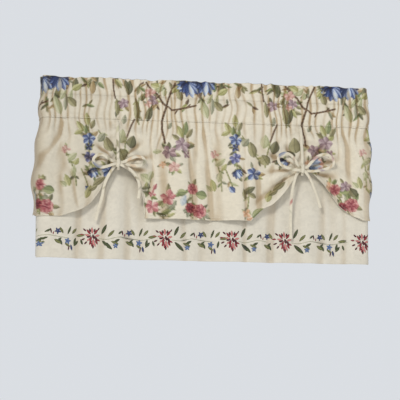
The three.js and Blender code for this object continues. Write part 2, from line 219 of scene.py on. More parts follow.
def new_piece(name, points, faces, flat, dye, sharp=()):
    mesh = bpy.data.meshes.new(name)
    mesh.from_pydata((np.asarray(points) * MM).tolist(), [], faces)
    soft = np.ones(len(mesh.polygons), bool)
    soft[list(sharp)] = False
    mesh.polygons.foreach_set("use_smooth", soft)
    corner = np.zeros(len(mesh.loops), np.int32)
    mesh.loops.foreach_get("vertex_index", corner)
    layer = mesh.uv_layers.new(name="flat_cloth")
    layer.data.foreach_set("uv", (np.asarray(flat, np.float32)[corner] * MM).ravel())
    tint = mesh.color_attributes.new(name="dye", type="FLOAT_COLOR", domain="POINT")
    colour = np.column_stack([dye, np.ones(len(dye))])
    tint.data.foreach_set("color", colour.astype(np.float32).ravel())
    mesh.update()
    piece = bpy.data.objects.new(name, mesh)
    bpy.context.collection.objects.link(piece)
    return piece


def linear(r, g, b):
    """A colour as seen on a screen, 0 to 255, turned into amounts of light."""
    c = np.array([r, g, b], float) / 255
    return np.where(c <= 0.04045, c / 12.92, ((c + 0.055) / 1.055) ** 2.4)


# %% [markdown]
# The band of a tie is a flat tube of cloth turned right side out and pressed, so its edges are round and
# its middle is a little hollow. Its edge follows the route by a part at each step, so that it never
# flips over, and its width is not quite even.

# %% Band of a tie
TIE_WIDTH, TIE_THICK, TIE_STEPS = 7.2, 1.7, 230
EDGE_TURN = 0.35           # how much of each turn the edge follows at once
TIE_SECTION = [            # shares of half the width and half the thickness
    (1.0, 0.0), (0.94, 0.62), (0.74, 1.0), (0.38, 0.86), (0.0, 0.7), (-0.38, 0.86), (-0.74, 1.0),
    (-0.94, 0.62), (-1.0, 0.0), (-0.94, -0.62), (-0.74, -1.0), (0.0, -0.8), (0.74, -1.0), (0.94, -0.62),
]


def new_band(name, route, width, thick, steps, dye):
    """A band along a route, with its middle line and its length."""
    middle, length = smooth_line(route, steps + 1)
    ahead = np.gradient(middle, axis=0)
    ahead /= np.linalg.norm(ahead, axis=1)[:, None]
    front = np.array([0.0, -1.0, 0.0])
    edge = np.array([1.0, 0.0, 0.0])
    rings = []
    for i in range(steps + 1):
        turned = np.cross(front, ahead[i])
        if turned @ edge < 0:
            turned = -turned
        turned = turned * EDGE_TURN + edge
        turned -= ahead[i] * (turned @ ahead[i])
        edge = turned / np.linalg.norm(turned)
        face = np.cross(ahead[i], edge)
        wide = width * (1 + 0.035 * math.sin(i * 0.23) + 0.02 * math.sin(i * 0.61))
        rings.append([middle[i] + edge * a * wide / 2 + face * b * thick / 2 for a, b in TIE_SECTION])
    n = len(TIE_SECTION)
    grid = np.arange((steps + 1) * n).reshape(-1, n)
    faces = quads(np.hstack([grid, grid[:, :1]]), ACROSS_FIRST)
    faces += [grid[0, ::-1].tolist(), grid[-1].tolist()]
    cut = wide             # the flat strip is as wide as the last ring
    flat = [(a * cut / 2, i * length / steps) for i in range(steps + 1) for a, _ in TIE_SECTION]
    caps = [len(faces) - 2, len(faces) - 1]
    piece = new_piece(name, np.array(rings).reshape(-1, 3), faces, flat, dye, caps)
    return piece, middle, length


# %% [markdown]
# Patches of the print fall on a tie wherever its strip was cut. Each is a stretch of one dye with soft,
# slanting ends.

# %% Ties
CREAM = linear(216, 208, 187)
PATCH_SLANT, PATCH_SOFT = 0.008, 0.014   # shares of the length
TIE_PATCHES = {  # from, to as shares of the length, then the dye
    "left_front_tie": [
        (0.05, 0.10, (188, 184, 148)), (0.14, 0.20, (140, 134, 98)), (0.21, 0.235, (112, 108, 76)),
        (0.33, 0.37, (206, 176, 142)), (0.39, 0.43, (196, 168, 134)), (0.44, 0.49, (120, 118, 92)),
        (0.52, 0.57, (204, 180, 148)), (0.68, 0.71, (176, 160, 122)), (0.79, 0.815, (168, 160, 128)),
    ],
    "left_back_tie": [
        (0.56, 0.63, (92, 104, 130)), (0.42, 0.455, (150, 142, 112)), (0.48, 0.52, (186, 170, 136)),
        (0.76, 0.80, (120, 104, 82)), (0.86, 0.89, (140, 128, 96)), (0.93, 0.95, (128, 122, 92)),
    ],
    "right_front_tie": [
        (0.30, 0.345, (172, 128, 132)), (0.36, 0.39, (176, 160, 112)), (0.41, 0.445, (178, 140, 136)),
        (0.46, 0.49, (190, 164, 126)), (0.51, 0.545, (146, 132, 140)), (0.56, 0.59, (188, 168, 130)),
        (0.795, 0.83, (170, 74, 76)), (0.855, 0.872, (116, 128, 92)), (0.905, 0.915, (148, 152, 120)),
    ],
    "right_back_tie": [
        (0.36, 0.39, (160, 150, 118)), (0.43, 0.46, (176, 150, 128)), (0.50, 0.56, (86, 104, 140)),
        (0.60, 0.63, (178, 162, 126)), (0.66, 0.69, (150, 140, 104)), (0.80, 0.82, (190, 160, 128)),
    ],
}


def tie_dye(patches):
    share = np.repeat(np.linspace(0, 1, TIE_STEPS + 1), len(TIE_SECTION))
    across = np.tile([a for a, _ in TIE_SECTION], TIE_STEPS + 1)
    dye = np.tile(CREAM, (len(share), 1))
    for k, (start, end, colour) in enumerate(patches):
        side = across * (-1) ** k
        slant = share + PATCH_SLANT * side
        cover = smooth(slant, start, start + PATCH_SOFT) * (1 - smooth(slant, end - PATCH_SOFT, end))
        dye += (linear(*colour) - dye) * (cover * (0.68 + 0.2 * side))[:, None]
    return dye


ties, tie_lines = {}, {}
for name, rows in ROUTES.items():
    route, dye = knot_route(name, rows), tie_dye(TIE_PATCHES[name])
    ties[name], middle, length = new_band(name + "_cloth", route, TIE_WIDTH, TIE_THICK, TIE_STEPS, dye)
    tie_lines[name] = (middle * MM, length * MM)
    print(name, round(length), "mm")

# %% [markdown]
# Where the four passes of a bow cross, one turn of the tie is drawn over them and makes the knot. It is a
# short length of the same band, bent over the crossing like a C.

# %% Knot wraps
WRAP = [  # x, z, out
    (0, 10.5, 34.0), (0, 7, 36.4), (0, 1, 37.6), (-0.5, -5, 37.8), (-1.6, -9.5, 36.6), (-2.4, -11, 34.2),
]
WRAP_WIDTH, WRAP_THICK, WRAP_STEPS = TIE_WIDTH * 1.15, TIE_THICK * 0.9, 24
wrap_dye = np.tile(CREAM * 0.97, ((WRAP_STEPS + 1) * len(TIE_SECTION), 1))
wraps = {}
for name in ("left_back_tie", "right_back_tie"):
    route = knot_route(name, WRAP)
    knot = name.replace("back_tie", "knot")
    wraps[name], _, _ = new_band(knot, route, WRAP_WIDTH, WRAP_THICK, WRAP_STEPS, wrap_dye)
print("knots", sorted(wraps))

# %% [markdown]
# ## How the cloth hangs
# Two kinds of fold shape every panel. Broad gathers and soft upright folds are the same as in the
# solids, from short tables. On top of them come the fine pleats that a gathering thread makes: round
# ridges 9 to 24 mm apart with a sharp valley between, each of its own height and length. They are drawn
# from a seeded list, so the cloth is the same on every run.

# %% Gathers and pleats
GATHERS = [(56, 1.9, 1.88), (83, 1.3, 2.3), (151, 1.2, 1.1)]   # pitch, depth, phase


def gathers(s):
    return sum(depth * np.sin(2 * math.pi * s / pitch + phase) for pitch, depth, phase in GATHERS)


def near_knots(x, width):
    return sum(bump(x - at, width) for at in KNOTS.values())


class Pleats:
    def __init__(self, seed, narrow, wide):
        dice = random.Random(seed)
        edges = [-PATH_END - 40]
        while edges[-1] < PATH_END + 40:
            edges.append(edges[-1] + dice.uniform(narrow, wide))
        self.edges = np.array(edges)
        self.height = np.array([0.2 + 0.9 * dice.random() ** 1.4 for _ in edges])
        self.run = np.array([dice.uniform(0.45, 1.0) for _ in edges])

    def at(self, s, z, fade_over=None):
        """Height of the ridges. With fade_over they run out below the seam, each in its own length."""
        s = s + 3.0 * np.sin(z / 21 + s / 47) + 1.8 * np.sin(z / 12.5 - s / 31)
        k = np.clip(np.searchsorted(self.edges, s) - 1, 0, len(self.edges) - 2)
        t = np.clip((s - self.edges[k]) / (self.edges[k + 1] - self.edges[k]), 0, 1)
        arch = np.sin(math.pi * t)
        ridge = self.height[k] * (0.55 * arch + 0.45 * arch ** 2)
        if fade_over is None:
            return ridge
        return ridge * (1 - smooth((PANEL_TOP - z) / (fade_over * self.run[k]), 0.1, 1.0))


fine_pleats = Pleats(11, 9, 24)
broad_pleats = Pleats(23, 24, 58)
ruffle_pleats = Pleats(4, 17, 36)
print("pleats", len(fine_pleats.edges), "fine,", len(ruffle_pleats.edges), "in the frill")

# %% [markdown]
# ## The print
# The cloth is printed with garden flowers as in watercolour: blue bell flowers hanging from the top,
# brown twigs, mauve blossom, pink stars and red roses near the hem, and leaves between. Each motif is a
# few petals or a leaf blade drawn by a small formula, and tables say where they lie on the hung cloth.
# The paint goes into a colour attribute, one value for each point of the mesh, because then the print
# stays on the cloth from every side and needs no picture.

# %% Dyes
DYES = {  # dark, middle and light of each dye
    "lime": ((128, 128, 72), (170, 168, 112), (208, 204, 160)),
    "olive": ((92, 88, 56), (138, 132, 92), (184, 178, 138)),
    "dark": ((62, 64, 42), (100, 100, 68), (146, 142, 104)),
    "pale": ((142, 146, 104), (182, 182, 144), (214, 210, 180)),
    "green": ((84, 98, 58), (126, 136, 88), (176, 180, 134)),
    "grey": ((104, 108, 86), (150, 150, 124), (192, 190, 164)),
    "tan": ((120, 98, 62), (172, 150, 108), (208, 192, 154)),
    "bark": ((70, 54, 40), (104, 84, 64), (146, 122, 98)),
    "stem": ((102, 106, 66), (142, 142, 98), (176, 172, 130)),
    "blue": ((30, 38, 74), (76, 98, 150), (200, 212, 226)),
    "night": ((28, 30, 50), (58, 66, 102), (140, 150, 176)),
    "violet": ((54, 54, 96), (96, 100, 148), (184, 186, 208)),
    "slate": ((84, 98, 126), (132, 148, 172), (196, 204, 210)),
    "haze": ((150, 162, 172), (184, 192, 194), (206, 208, 200)),
    "mauve": ((108, 84, 92), (158, 134, 140), (208, 190, 190)),
    "plum": ((92, 66, 76), (142, 114, 118), (196, 172, 168)),
    "blush": ((168, 118, 112), (204, 164, 152), (226, 204, 190)),
    "pink": ((134, 66, 74), (184, 112, 114), (222, 182, 174)),
    "rose": ((118, 50, 60), (174, 98, 101), (216, 168, 159)),
    "crimson": ((76, 25, 33), (132, 49, 58), (188, 108, 107)),
    "peach": ((184, 132, 98), (216, 176, 142), (232, 208, 182)),
}
DYES = {name: [linear(*tone) for tone in tones] for name, tones in DYES.items()}


def shaded(dye, share):
    dark, mid, light = DYES[dye]
    share = np.clip(share, 0, 1)[:, None]
    return np.where(share < 0.5, dark + (mid - dark) * share * 2, mid + (light - mid) * (share * 2 - 1))


print(len(DYES), "dyes")

# %% [markdown]
# A leaf and a petal are the same thing to a painter: a blade with a stalk end and a tip, a width that
# swells and closes, a dark rib and one half in the light. `blade` works out, for the points near it, how
# far along and across they lie and how much paint they take.

# %% Brush strokes
def near_points(cloth, x, z, turn, reach):
    places = cloth["place"]
    near = np.nonzero((np.abs(places[:, 0] - x) < reach) & (np.abs(places[:, 1] - z) < reach))[0]
    dx, dz = places[near, 0] - x, places[near, 1] - z
    c, s = cos_sin(turn)
    return near, dx * c + dz * s, dz * c - dx * s


def lay_paint(cloth, near, tone, cover):
    dye = cloth["dye"]
    dye[near] += (tone - dye[near]) * np.clip(cover, 0, 1)[:, None]


def blade(cloth, x, z, length, width, turn, dye, swell=0.85, rib=1.0, cover=1.0, lift=0.0):
    """A blade whose stalk is at (x, z)."""
    near, along, across = near_points(cloth, x, z, turn, length * 1.1)
    if not len(near):
        return
    t = np.clip(along / length, 0, 1)
    half = np.maximum(width / 2 * np.sin(math.pi * t ** swell) ** 0.8, 0.01)
    inside = np.minimum(half - np.abs(across), np.minimum(along, length - along) + 0.6)
    wash = 0.16 * np.sin(along * 0.9 + x) * np.sin(across * 1.3 + z)
    rim = 0.45 * smooth(np.abs(across) / half, 0.7, 1.0)
    light = 0.55 + 0.42 * across / half + wash + lift - rib * 0.5 * bump(across, 0.9) - rim
    lay_paint(cloth, near, shaded(dye, light), smooth(inside, -0.7, 0.9) * 0.92 * cover)


def leaf(cloth, x, z, turn, length, width, dye):
    blade(cloth, *beside(x, z, turn, -length / 2), length * 1.08, width * 1.25, turn, dye)


def stem(cloth, dye, width, points):
    for (x0, z0), (x1, z1) in zip(points, points[1:]):
        length = math.hypot(x1 - x0, z1 - z0)
        turn = math.degrees(math.atan2(z1 - z0, x1 - x0))
        near, along, across = near_points(cloth, x0, z0, turn, length + width)
        gap = np.hypot(across, np.maximum(np.maximum(-along, along - length), 0))
        light = 0.5 - 0.45 * across / width + 0.25 * np.sin(along * 0.7)
        lay_paint(cloth, near, shaded(dye, light), 1 - smooth(gap, width * 0.42, width * 0.42 + 1.5))


# %% [markdown]
# Flowers are put together from blades. A bloom is a ring of petals with a dark eye, a bell is a fan of
# long petals with a pale throat, and a rose is rings of round petals, darker towards the middle.

# %% Flowers
BELL_PETALS = [  # direction, length, width, light
    (-66, 0.6, 0.24, -0.3), (66, 0.6, 0.24, -0.3), (-44, 0.78, 0.28, -0.2), (44, 0.78, 0.28, -0.1),
    (-22, 0.95, 0.32, -0.15), (22, 0.95, 0.32, 0.0), (0, 1.0, 0.34, 0.35),
]
ROSE_RINGS = [(7, 0.5, 0.2), (5, 0.34, -0.1), (3, 0.2, -0.3)]   # petals, reach, light


def bloom(cloth, x, z, turn, size, petals, dye):
    for k in range(petals):
        at = turn + 360 * k / petals + 9 * math.sin(k * 2.1 + x)
        long = size * (0.52 + 0.06 * math.sin(k * 1.7 + z))
        blade(cloth, x, z, long, size * 0.42, at, dye, 1.3, 0.5, 1, 0.05)
    near, along, across = near_points(cloth, x, z, 0, size * 0.3)
    eye = 0.8 * bump(np.hypot(along, across), size * 0.09)
    lay_paint(cloth, near, shaded(dye, np.zeros(len(near))), eye)


def bell(cloth, x, z, turn, size, dye):
    stalk = beside(x, z, turn, -0.5 * size)
    for spread, long, wide, lift in BELL_PETALS:
        shade = "night" if abs(spread) > 50 else dye
        blade(cloth, *stalk, size * long, size * wide, turn + spread, shade, 1.5, 0.5, 1, lift)
    throat = beside(x, z, turn, -0.2 * size)
    blade(cloth, *throat, size * 0.5, size * 0.16, turn, "haze", 1.2, 0, 0.9, 0.5)
    base = beside(x, z, turn, -0.62 * size)
    blade(cloth, *base, size * 0.3, size * 0.16, turn, dye, 1, 0, 1, -0.5)


def rose(cloth, x, z, turn, size, dye):
    for ring, (count, out, lift) in enumerate(ROSE_RINGS):
        for k in range(count):
            at = turn + 360 * k / count + ring * 31
            light = lift + 0.12 * math.sin(k * 2.3 + x)
            blade(cloth, x, z, size * out, size * out * 0.95, at, dye, 1.6, 0.3, 1, light)


BRUSHES = {"stems": stem, "leaves": leaf, "blooms": bloom, "bells": bell, "roses": rose}
print("brushes", sorted(BRUSHES))

# %% [markdown]
# A printed cloth repeats, so a spray is charted once and laid wherever the repeat brings it back, here
# about every 370 mm. Each spray has its own short tables, in millimetres from its middle. The sprays are
# drawn afresh from round numbers, and only their kinds, colours and spacing follow the real cloth.
# A leaf has its x, z, turn, length, width and dye. A bloom has its x, z, turn, size, petals and dye, and
# a bell or a rose the same without the petals. A stem has its dye, width and points.

# %% Sprays of the print
SPRAYS = {
    "bells": {
        "bells": [(-42, 3, 200, 30, "blue"), (-20, -4, -75, 44, "blue"), (18, 3, -95, 45, "blue")],
        "leaves": [
            (-48, -20, 105, 30, 14, "olive"), (-60, -6, 50, 20, 10, "lime"), (28, -28, 60, 30, 10, "pale"),
            (45, -32, 75, 35, 10, "pale"), (10, -40, 100, 30, 10, "dark"), (58, 2, 85, 35, 13, "dark"),
            (34, -48, 85, 40, 9, "grey"), (14, -56, 110, 46, 17, "pale"), (102, -6, 90, 34, 12, "tan"),
            (62, -6, 35, 28, 15, "lime"), (50, -46, 130, 30, 15, "olive"),
        ],
        "stems": [("stem", 2.3, [(8, -22), (10, -46), (8, -62)])],
    },
    "twigs": {
        "blooms": [
            (-42, 34, 10, 30, 5, "blush"), (-34, 14, 50, 28, 5, "mauve"), (-46, 4, 20, 18, 4, "blush"),
        ],
        "leaves": [
            (-18, 48, 30, 28, 18, "pale"), (-28, 56, 150, 23, 13, "lime"), (-4, 36, 80, 20, 10, "pale"),
            (-44, -22, 75, 38, 14, "dark"), (-60, 20, 60, 23, 10, "olive"), (8, -50, 60, 20, 9, "grey"),
        ],
        "stems": [
            ("bark", 5.0, [(-50, 62), (-36, 42), (-22, 30), (-9, 6), (0, -2)]),
            ("bark", 4.0, [(24, 62), (14, 40), (5, 18), (0, 0)]),
            ("bark", 5.0, [(0, 0), (-6, -18), (-11, -38), (-11, -60), (-4, -94)]),
            ("bark", 3.8, [(4, -2), (14, -10), (28, -8), (54, -2), (75, 4)]),
            ("bark", 2.8, [(28, -8), (22, -18)]), ("bark", 2.5, [(52, -2), (60, 6)]),
        ],
    },
    "top_leaves": {
        "blooms": [(-6, -16, 30, 28, 5, "mauve")],
        "leaves": [
            (9, 25, 85, 38, 15, "dark"), (3, 32, 105, 30, 10, "dark"), (-22, -27, 95, 40, 11, "olive"),
            (27, -35, 95, 60, 13, "olive"), (-4, -58, 80, 23, 10, "grey"), (42, 2, 60, 23, 10, "olive"),
        ],
        "stems": [
            ("bark", 3.3, [(-32, 44), (-31, 22), (-27, -4)]), ("stem", 2.3, [(32, -2), (30, -34), (32, -70)]),
        ],
    },
    "mauves": {
        "blooms": [
            (10, 12, 10, 38, 5, "mauve"), (-22, -8, 40, 35, 5, "plum"), (-10, -44, 25, 28, 5, "blush"),
            (22, -12, 60, 20, 4, "plum"), (-38, -40, 10, 18, 4, "peach"),
        ],
        "leaves": [
            (6, 46, 110, 30, 13, "lime"), (20, 54, 80, 35, 13, "green"), (-4, 30, 140, 23, 10, "olive"),
            (30, 42, 55, 28, 11, "olive"), (-52, -6, 10, 23, 10, "pale"),
        ],
    },
    "hanging": {
        "blooms": [
            (0, 18, 10, 32, 5, "blue"), (-2, -2, 45, 20, 4, "night"), (-2, -28, 30, 29, 5, "violet"),
            (45, -66, 15, 36, 5, "blue"),
        ],
        "bells": [(4, -70, -65, 25, "blue")],
        "leaves": [
            (0, 68, 95, 30, 13, "lime"), (12, 54, 65, 25, 10, "olive"), (-18, 50, 120, 30, 12, "lime"),
            (-24, 36, 25, 26, 10, "lime"), (-6, 42, 80, 24, 10, "green"), (-10, -108, 130, 19, 12, "blue"),
        ],
        "stems": [
            ("stem", 2.5, [(2, 54), (0, 20), (-2, -32), (4, -64)]), ("stem", 2.5, [(-25, -58), (-9, -102)]),
        ],
    },
    "round_leaves": {
        "leaves": [
            (-20, 0, 105, 38, 19, "olive"), (12, 22, 80, 34, 18, "pale"), (38, 8, 75, 31, 20, "dark"),
            (14, -24, 120, 28, 22, "olive"), (-38, 18, 50, 25, 14, "grey"),
        ],
        "stems": [
            ("bark", 3.5, [(46, 68), (37, 50), (25, 20)]), ("stem", 2.8, [(25, 20), (20, -5), (13, -43)]),
            ("stem", 2.5, [(-45, 36), (-30, 8), (-10, -16), (10, -35)]),
        ],
    },
    "pinks": {
        "blooms": [(16, 13, 15, 38, 5, "pink"), (-25, -11, 35, 35, 5, "pink"), (-24, 22, 70, 18, 4, "pink")],
        "leaves": [
            (24, -7, 45, 30, 15, "grey"), (11, -23, 20, 28, 10, "green"), (-1, -30, 165, 25, 8, "dark"),
            (-40, 36, 10, 23, 8, "dark"), (-38, 24, 160, 20, 8, "dark"), (-40, 60, 145, 30, 15, "pale"),
            (-28, 68, 60, 23, 13, "pale"), (-17, 39, 60, 18, 8, "rose"),
        ],
        "stems": [
            ("stem", 2.5, [(16, 8), (18, -12), (9, -30)]), ("stem", 2.5, [(-24, -16), (-4, -28), (19, -35)]),
            ("stem", 2.5, [(-42, 66), (-37, 41), (-24, 7)]),
        ],
    },
    "roses": {
        "roses": [(-2, 27, 40, 30, "rose"), (16, -28, 20, 38, "rose"), (-8, -21, 80, 28, "crimson")],
        "leaves": [
            (-31, 16, 5, 25, 15, "green"), (22, 13, 170, 28, 18, "green"), (-26, -4, 70, 28, 13, "haze"),
        ],
        "stems": [("stem", 2.5, [(-3, 14), (-2, -11), (-1, -46)])],
    },
    "pair": {
        "blooms": [(-20, -2, 40, 28, 5, "peach"), (19, 1, 15, 28, 5, "mauve")],
        "leaves": [(40, -15, 130, 28, 15, "dark")],
    },
    "trail": {
        "blooms": [(-7, 38, 120, 20, 3, "blush")],
        "leaves": [
            (5, 18, 40, 28, 13, "pale"), (16, 6, 60, 20, 10, "lime"), (-6, -42, 110, 30, 13, "lime"),
            (8, -19, 80, 28, 11, "pale"), (-16, -50, 140, 20, 10, "pale"), (-15, 35, 110, 18, 8, "blush"),
        ],
        "stems": [("stem", 2.5, [(-10, 30), (1, 11), (11, -19), (16, -54)])],
    },
    "edge_leaves": {
        "leaves": [
            (7, 9, 35, 35, 13, "olive"), (-19, -18, 70, 33, 13, "lime"), (-7, -8, 30, 23, 10, "olive"),
        ],
    },
    "hem_leaves": {
        "blooms": [(-6, -32, 60, 23, 4, "peach")],
        "leaves": [
            (0, 26, 30, 33, 13, "dark"), (-11, 16, 100, 25, 10, "olive"), (10, 14, 155, 23, 10, "olive"),
            (23, -31, 40, 35, 18, "green"), (2, -45, 20, 15, 8, "peach"),
        ],
        "stems": [("stem", 2.5, [(0, 34), (0, 3), (-3, -27)])],
    },
    "bow_blues": {
        "bells": [(-43, 0, 215, 24, "blue"), (43, -4, -10, 30, "slate")],
        "leaves": [(-9, 44, 95, 38, 25, "olive"), (-19, 23, 130, 23, 13, "dark")],
    },
}
LAID_AT = {  # x, z and turn of each time a spray shows
    "bells": [(-395, -22, 0), (-25, -20, 0), (348, -17, 0)],
    "twigs": [(-480, -72, 0), (-108, -70, 0), (252, -66, 0)],
    "top_leaves": [(-210, -50, 0), (170, -44, 0)],
    "mauves": [(-80, -180, 0), (290, -165, 0)],
    "hanging": [(-302, -178, 4), (68, -170, 0), (437, -172, 0)],
    "round_leaves": [(-235, -175, 0), (130, -176, 0)],
    "pinks": [(-120, -315, 0)],
    "roses": [(-424, -304, 0), (-40, -305, 0), (340, -292, 30)],
    "pair": [(332, -262, 0)],
    "trail": [(-350, -225, 0), (22, -226, -5), (400, -212, -10)],
    "edge_leaves": [(-285, -275, 0), (172, -274, 0)],
    "hem_leaves": [(100, -305, 0)],
    "bow_blues": [(228, -207, 0)],
}


def laid(spray, kind):
    """Every row of one kind in a spray, moved and turned to each place where the spray is laid."""
    for x, z, turn in LAID_AT[spray]:
        c, s = cos_sin(turn)
        for row in SPRAYS[spray].get(kind, ()):
            if kind == "stems":
                yield *row[:2], [(x + a * c - b * s, z + a * s + b * c) for a, b in row[2]]
            else:
                yield x + row[0] * c - row[1] * s, z + row[0] * s + row[1] * c, row[2] + turn, *row[3:]


MOTIFS = {kind: [row for spray in SPRAYS for row in laid(spray, kind)] for kind in BRUSHES}
print("motifs", {kind: len(rows) for kind, rows in MOTIFS.items()})

# %% [markdown]
# Small leaves fill the print between the sprays. Four rules place them: around every flower, behind the
# bells, in two rows along the heading, and on both sides of every green stem. They share one seeded dice.

# %% Small leaves
GREENS = ("olive", "dark", "green", "lime", "grey", "pale", "olive", "tan")
TOP_GREENS = ("olive", "dark", "tan", "grey", "green", "bark", "lime", "olive")
SHADES = ("dark", "olive", "dark", "bark", "green")
TOP_ROWS = ((-17, 44, 6), (-72, 88, 3))   # height, pitch, leaves in a tuft


def around_flowers(dice):
    for x, z, _, size, *_ in MOTIFS["bells"] + MOTIFS["blooms"] + MOTIFS["roses"]:
        for _ in range(5 if size > 25 else 2):
            turn = dice.uniform(0, 360)
            far = size * dice.uniform(0.45, 0.62)
            length = min(size, 40) * dice.uniform(0.45, 0.7)
            width = length * dice.uniform(0.36, 0.5)
            yield *beside(x, z, turn, far), turn, length, width, dice.choice(GREENS)


def behind_bells(dice):
    for x, z, _, size, _ in MOTIFS["bells"]:
        for _ in range(6):
            turn = dice.choice((60, 95, 130, 210, 330)) + dice.uniform(-20, 20)
            place = (x + size * dice.uniform(-0.7, 0.7), z + size * dice.uniform(-0.2, 0.5))
            yield *place, turn, size * dice.uniform(0.45, 0.75), size * 0.24, dice.choice(SHADES)


def along_heading(dice):
    for level, pitch, count in TOP_ROWS:
        for at in np.arange(-FRONT_REACH, FRONT_REACH, pitch):
            x, z = at + dice.uniform(-12, 12), level + dice.uniform(-11, 11)
            for k in range(count):
                turn = dice.uniform(190, 350) if k % 3 else dice.uniform(20, 160)
                far, length = dice.uniform(4, 13), dice.uniform(14, 28)
                width = length * dice.uniform(0.26, 0.42)
                yield *beside(x, z, turn, far), turn, length, width, dice.choice(TOP_GREENS)


def along_stems(dice):
    for dye, _, points in MOTIFS["stems"]:
        for (x0, z0), (x1, z1) in zip(points, points[1:]):
            for side in (-1, 1) if dye == "stem" else ():
                turn = math.degrees(math.atan2(z1 - z0, x1 - x0)) + side * dice.uniform(30, 60)
                length = dice.uniform(11, 19)
                share = dice.uniform(0.1, 0.9)
                stalk = (x0 + (x1 - x0) * share, z0 + (z1 - z0) * share)
                yield *beside(*stalk, turn, length / 2), turn, length, length * 0.38, dice.choice(GREENS)


sprig_dice = random.Random(7)
SPRIGS = []
for rule in (around_flowers, behind_bells, along_heading, along_stems):
    SPRIGS += rule(sprig_dice)
print(len(SPRIGS), "small leaves")

# %% [markdown]
# Painting goes from back to front: small leaves, twigs and stems, then the leaves of the sprays, then
# flowers. The same lists serve the heading and the printed panel, because both are cut from one cloth
# and the print runs across the seam.

# %% Paint the print
def dyed(points_s, points_z, base):
    place = np.column_stack([np.ravel(points_s), np.ravel(points_z)])
    cloth = {"place": place, "dye": np.tile(base, (len(place), 1))}
    for row in SPRIGS:
        leaf(cloth, *row)
    for kind, brush in BRUSHES.items():
        for row in MOTIFS[kind]:
            brush(cloth, *row)
    return cloth["dye"]


# %% [markdown]
# ## Finishes
# Both cloths are a cotton blend with a plain weave and a faint tone-on-tone mottle. The dye and its painted
# shade come from the colour attribute, the mottle and the weave from textures in flat cloth coordinates, so
# they follow every fold. The weave is a bump of two sets of threads, a little over half a millimetre apart.

# %% Cloth finish
WAVE_PITCH = 0.314         # bands of a wave texture of scale 1 lie this far apart, in metres


def set_inputs(node, **values):
    for name, value in values.items():
        node.inputs[name.replace("_", " ")].default_value = value
    return node


def add_weave(nodes, links, flat, shader, pitch):
    weave = nodes.new("ShaderNodeMath")
    weave.operation = "MAXIMUM"
    for k, direction in enumerate("XY"):
        wave = nodes.new("ShaderNodeTexWave")
        set_inputs(wave, Scale=WAVE_PITCH / pitch, Distortion=1.5, Detail=1)
        wave.bands_direction = direction
        links.new(flat.outputs["UV"], wave.inputs["Vector"])
        links.new(wave.outputs["Fac"], weave.inputs[k])
    relief = set_inputs(nodes.new("ShaderNodeBump"), Strength=0.35, Distance=0.00012)
    links.new(weave.outputs["Value"], relief.inputs["Height"])
    links.new(relief.outputs["Normal"], shader.inputs["Normal"])


def cloth_finish(name, mottle_low, mottle_high, pitch, roughness=0.82):
    finish = bpy.data.materials.new(name)
    finish.use_nodes = True
    nodes, links = finish.node_tree.nodes, finish.node_tree.links
    shader = nodes["Principled BSDF"]
    set_inputs(shader, Roughness=roughness, Sheen_Weight=0.18, Sheen_Roughness=0.45, Specular_IOR_Level=0.3)
    flat = nodes.new("ShaderNodeUVMap")
    flat.uv_map = "flat_cloth"
    dye = nodes.new("ShaderNodeAttribute")
    dye.attribute_name = "dye"
    mottle = set_inputs(nodes.new("ShaderNodeTexNoise"), Scale=70, Detail=5, Distortion=1.2)
    tone = nodes.new("ShaderNodeMapRange")
    set_inputs(tone, From_Min=0.32, From_Max=0.68, To_Min=mottle_low, To_Max=mottle_high)
    tint = nodes.new("ShaderNodeMix")
    tint.data_type = "RGBA"
    tint.blend_type = "MULTIPLY"
    tint.inputs[0].default_value = 1.0
    links.new(flat.outputs["UV"], mottle.inputs["Vector"])
    links.new(mottle.outputs["Fac"], tone.inputs["Value"])
    links.new(dye.outputs["Color"], tint.inputs[6])
    links.new(tone.outputs["Result"], tint.inputs[7])
    links.new(tint.outputs[2], shader.inputs["Base Color"])
    add_weave(nodes, links, flat, shader, pitch)
    return finish


printed_finish = cloth_finish("printed_cloth", 0.935, 1.045, 0.0006)
plain_finish = cloth_finish("plain_cloth", 0.94, 1.04, 0.0007)
thread_finish = cloth_finish("thread", 0.85, 1.1, 0.0004, roughness=0.5)
print("finishes", printed_finish.name, plain_finish.name, thread_finish.name)

# %% [markdown]
# Deep in a fold the cloth looks darker and warmer, because the light there has passed through or off
# more cloth. Some of that comes from the lamps. The rest is painted shade, a darker and warmer colour where
# the cloth lies behind its own average across, found by blurring how far it stands out. The returns and
# the left side get painted shade too, because less light reaches them.

# %% Base colours and painted shade
PRINT_BASE = linear(219, 211, 191)
PLAIN_BASE = linear(214, 208, 192)
# Painted shade: how much a fold and a return take out of red, green and blue
FOLD_SHADE_HUE = np.array([0.78, 1.0, 1.26])    # a fold takes out more blue than red
END_SHADE_HUE = np.array([0.17, 0.22, 0.29])    # and so does a return
END_SHADE_SHARES = (1.6, 1.0)                   # how much of it the left and the right return get
# painted shade over the left side, where less light reaches
LEFT_SHADE = 0.12


def blurred(grid, reach):
    total = np.cumsum(np.pad(grid, ((0, 0), (reach + 1, reach)), mode="edge"), axis=1)
    return (total[:, 2 * reach + 1:] - total[:, :-2 * reach - 1]) / (2 * reach + 1)


# Painted shade, darker where the cloth lies in the valleys of its folds
def fold_painted_shade(out, reach, depth, amount):
    """Reach is how many columns the average takes in on each side, and depth is what counts as deep."""
    valley = np.clip((blurred(out, reach) - out) / depth, 0, 1)
    return 1 - amount * valley[..., None] * FOLD_SHADE_HUE


# Painted shade: darker on the returns, most on the left one, and darker over the left side
def end_shade(s):
    share = smooth(np.abs(s), 400, 428) * np.where(s < 0, *END_SHADE_SHARES)
    dim = 1 - LEFT_SHADE * smooth(-s, 170, 350)
    return (1 - share[..., None] * END_SHADE_HUE) * dim[..., None]


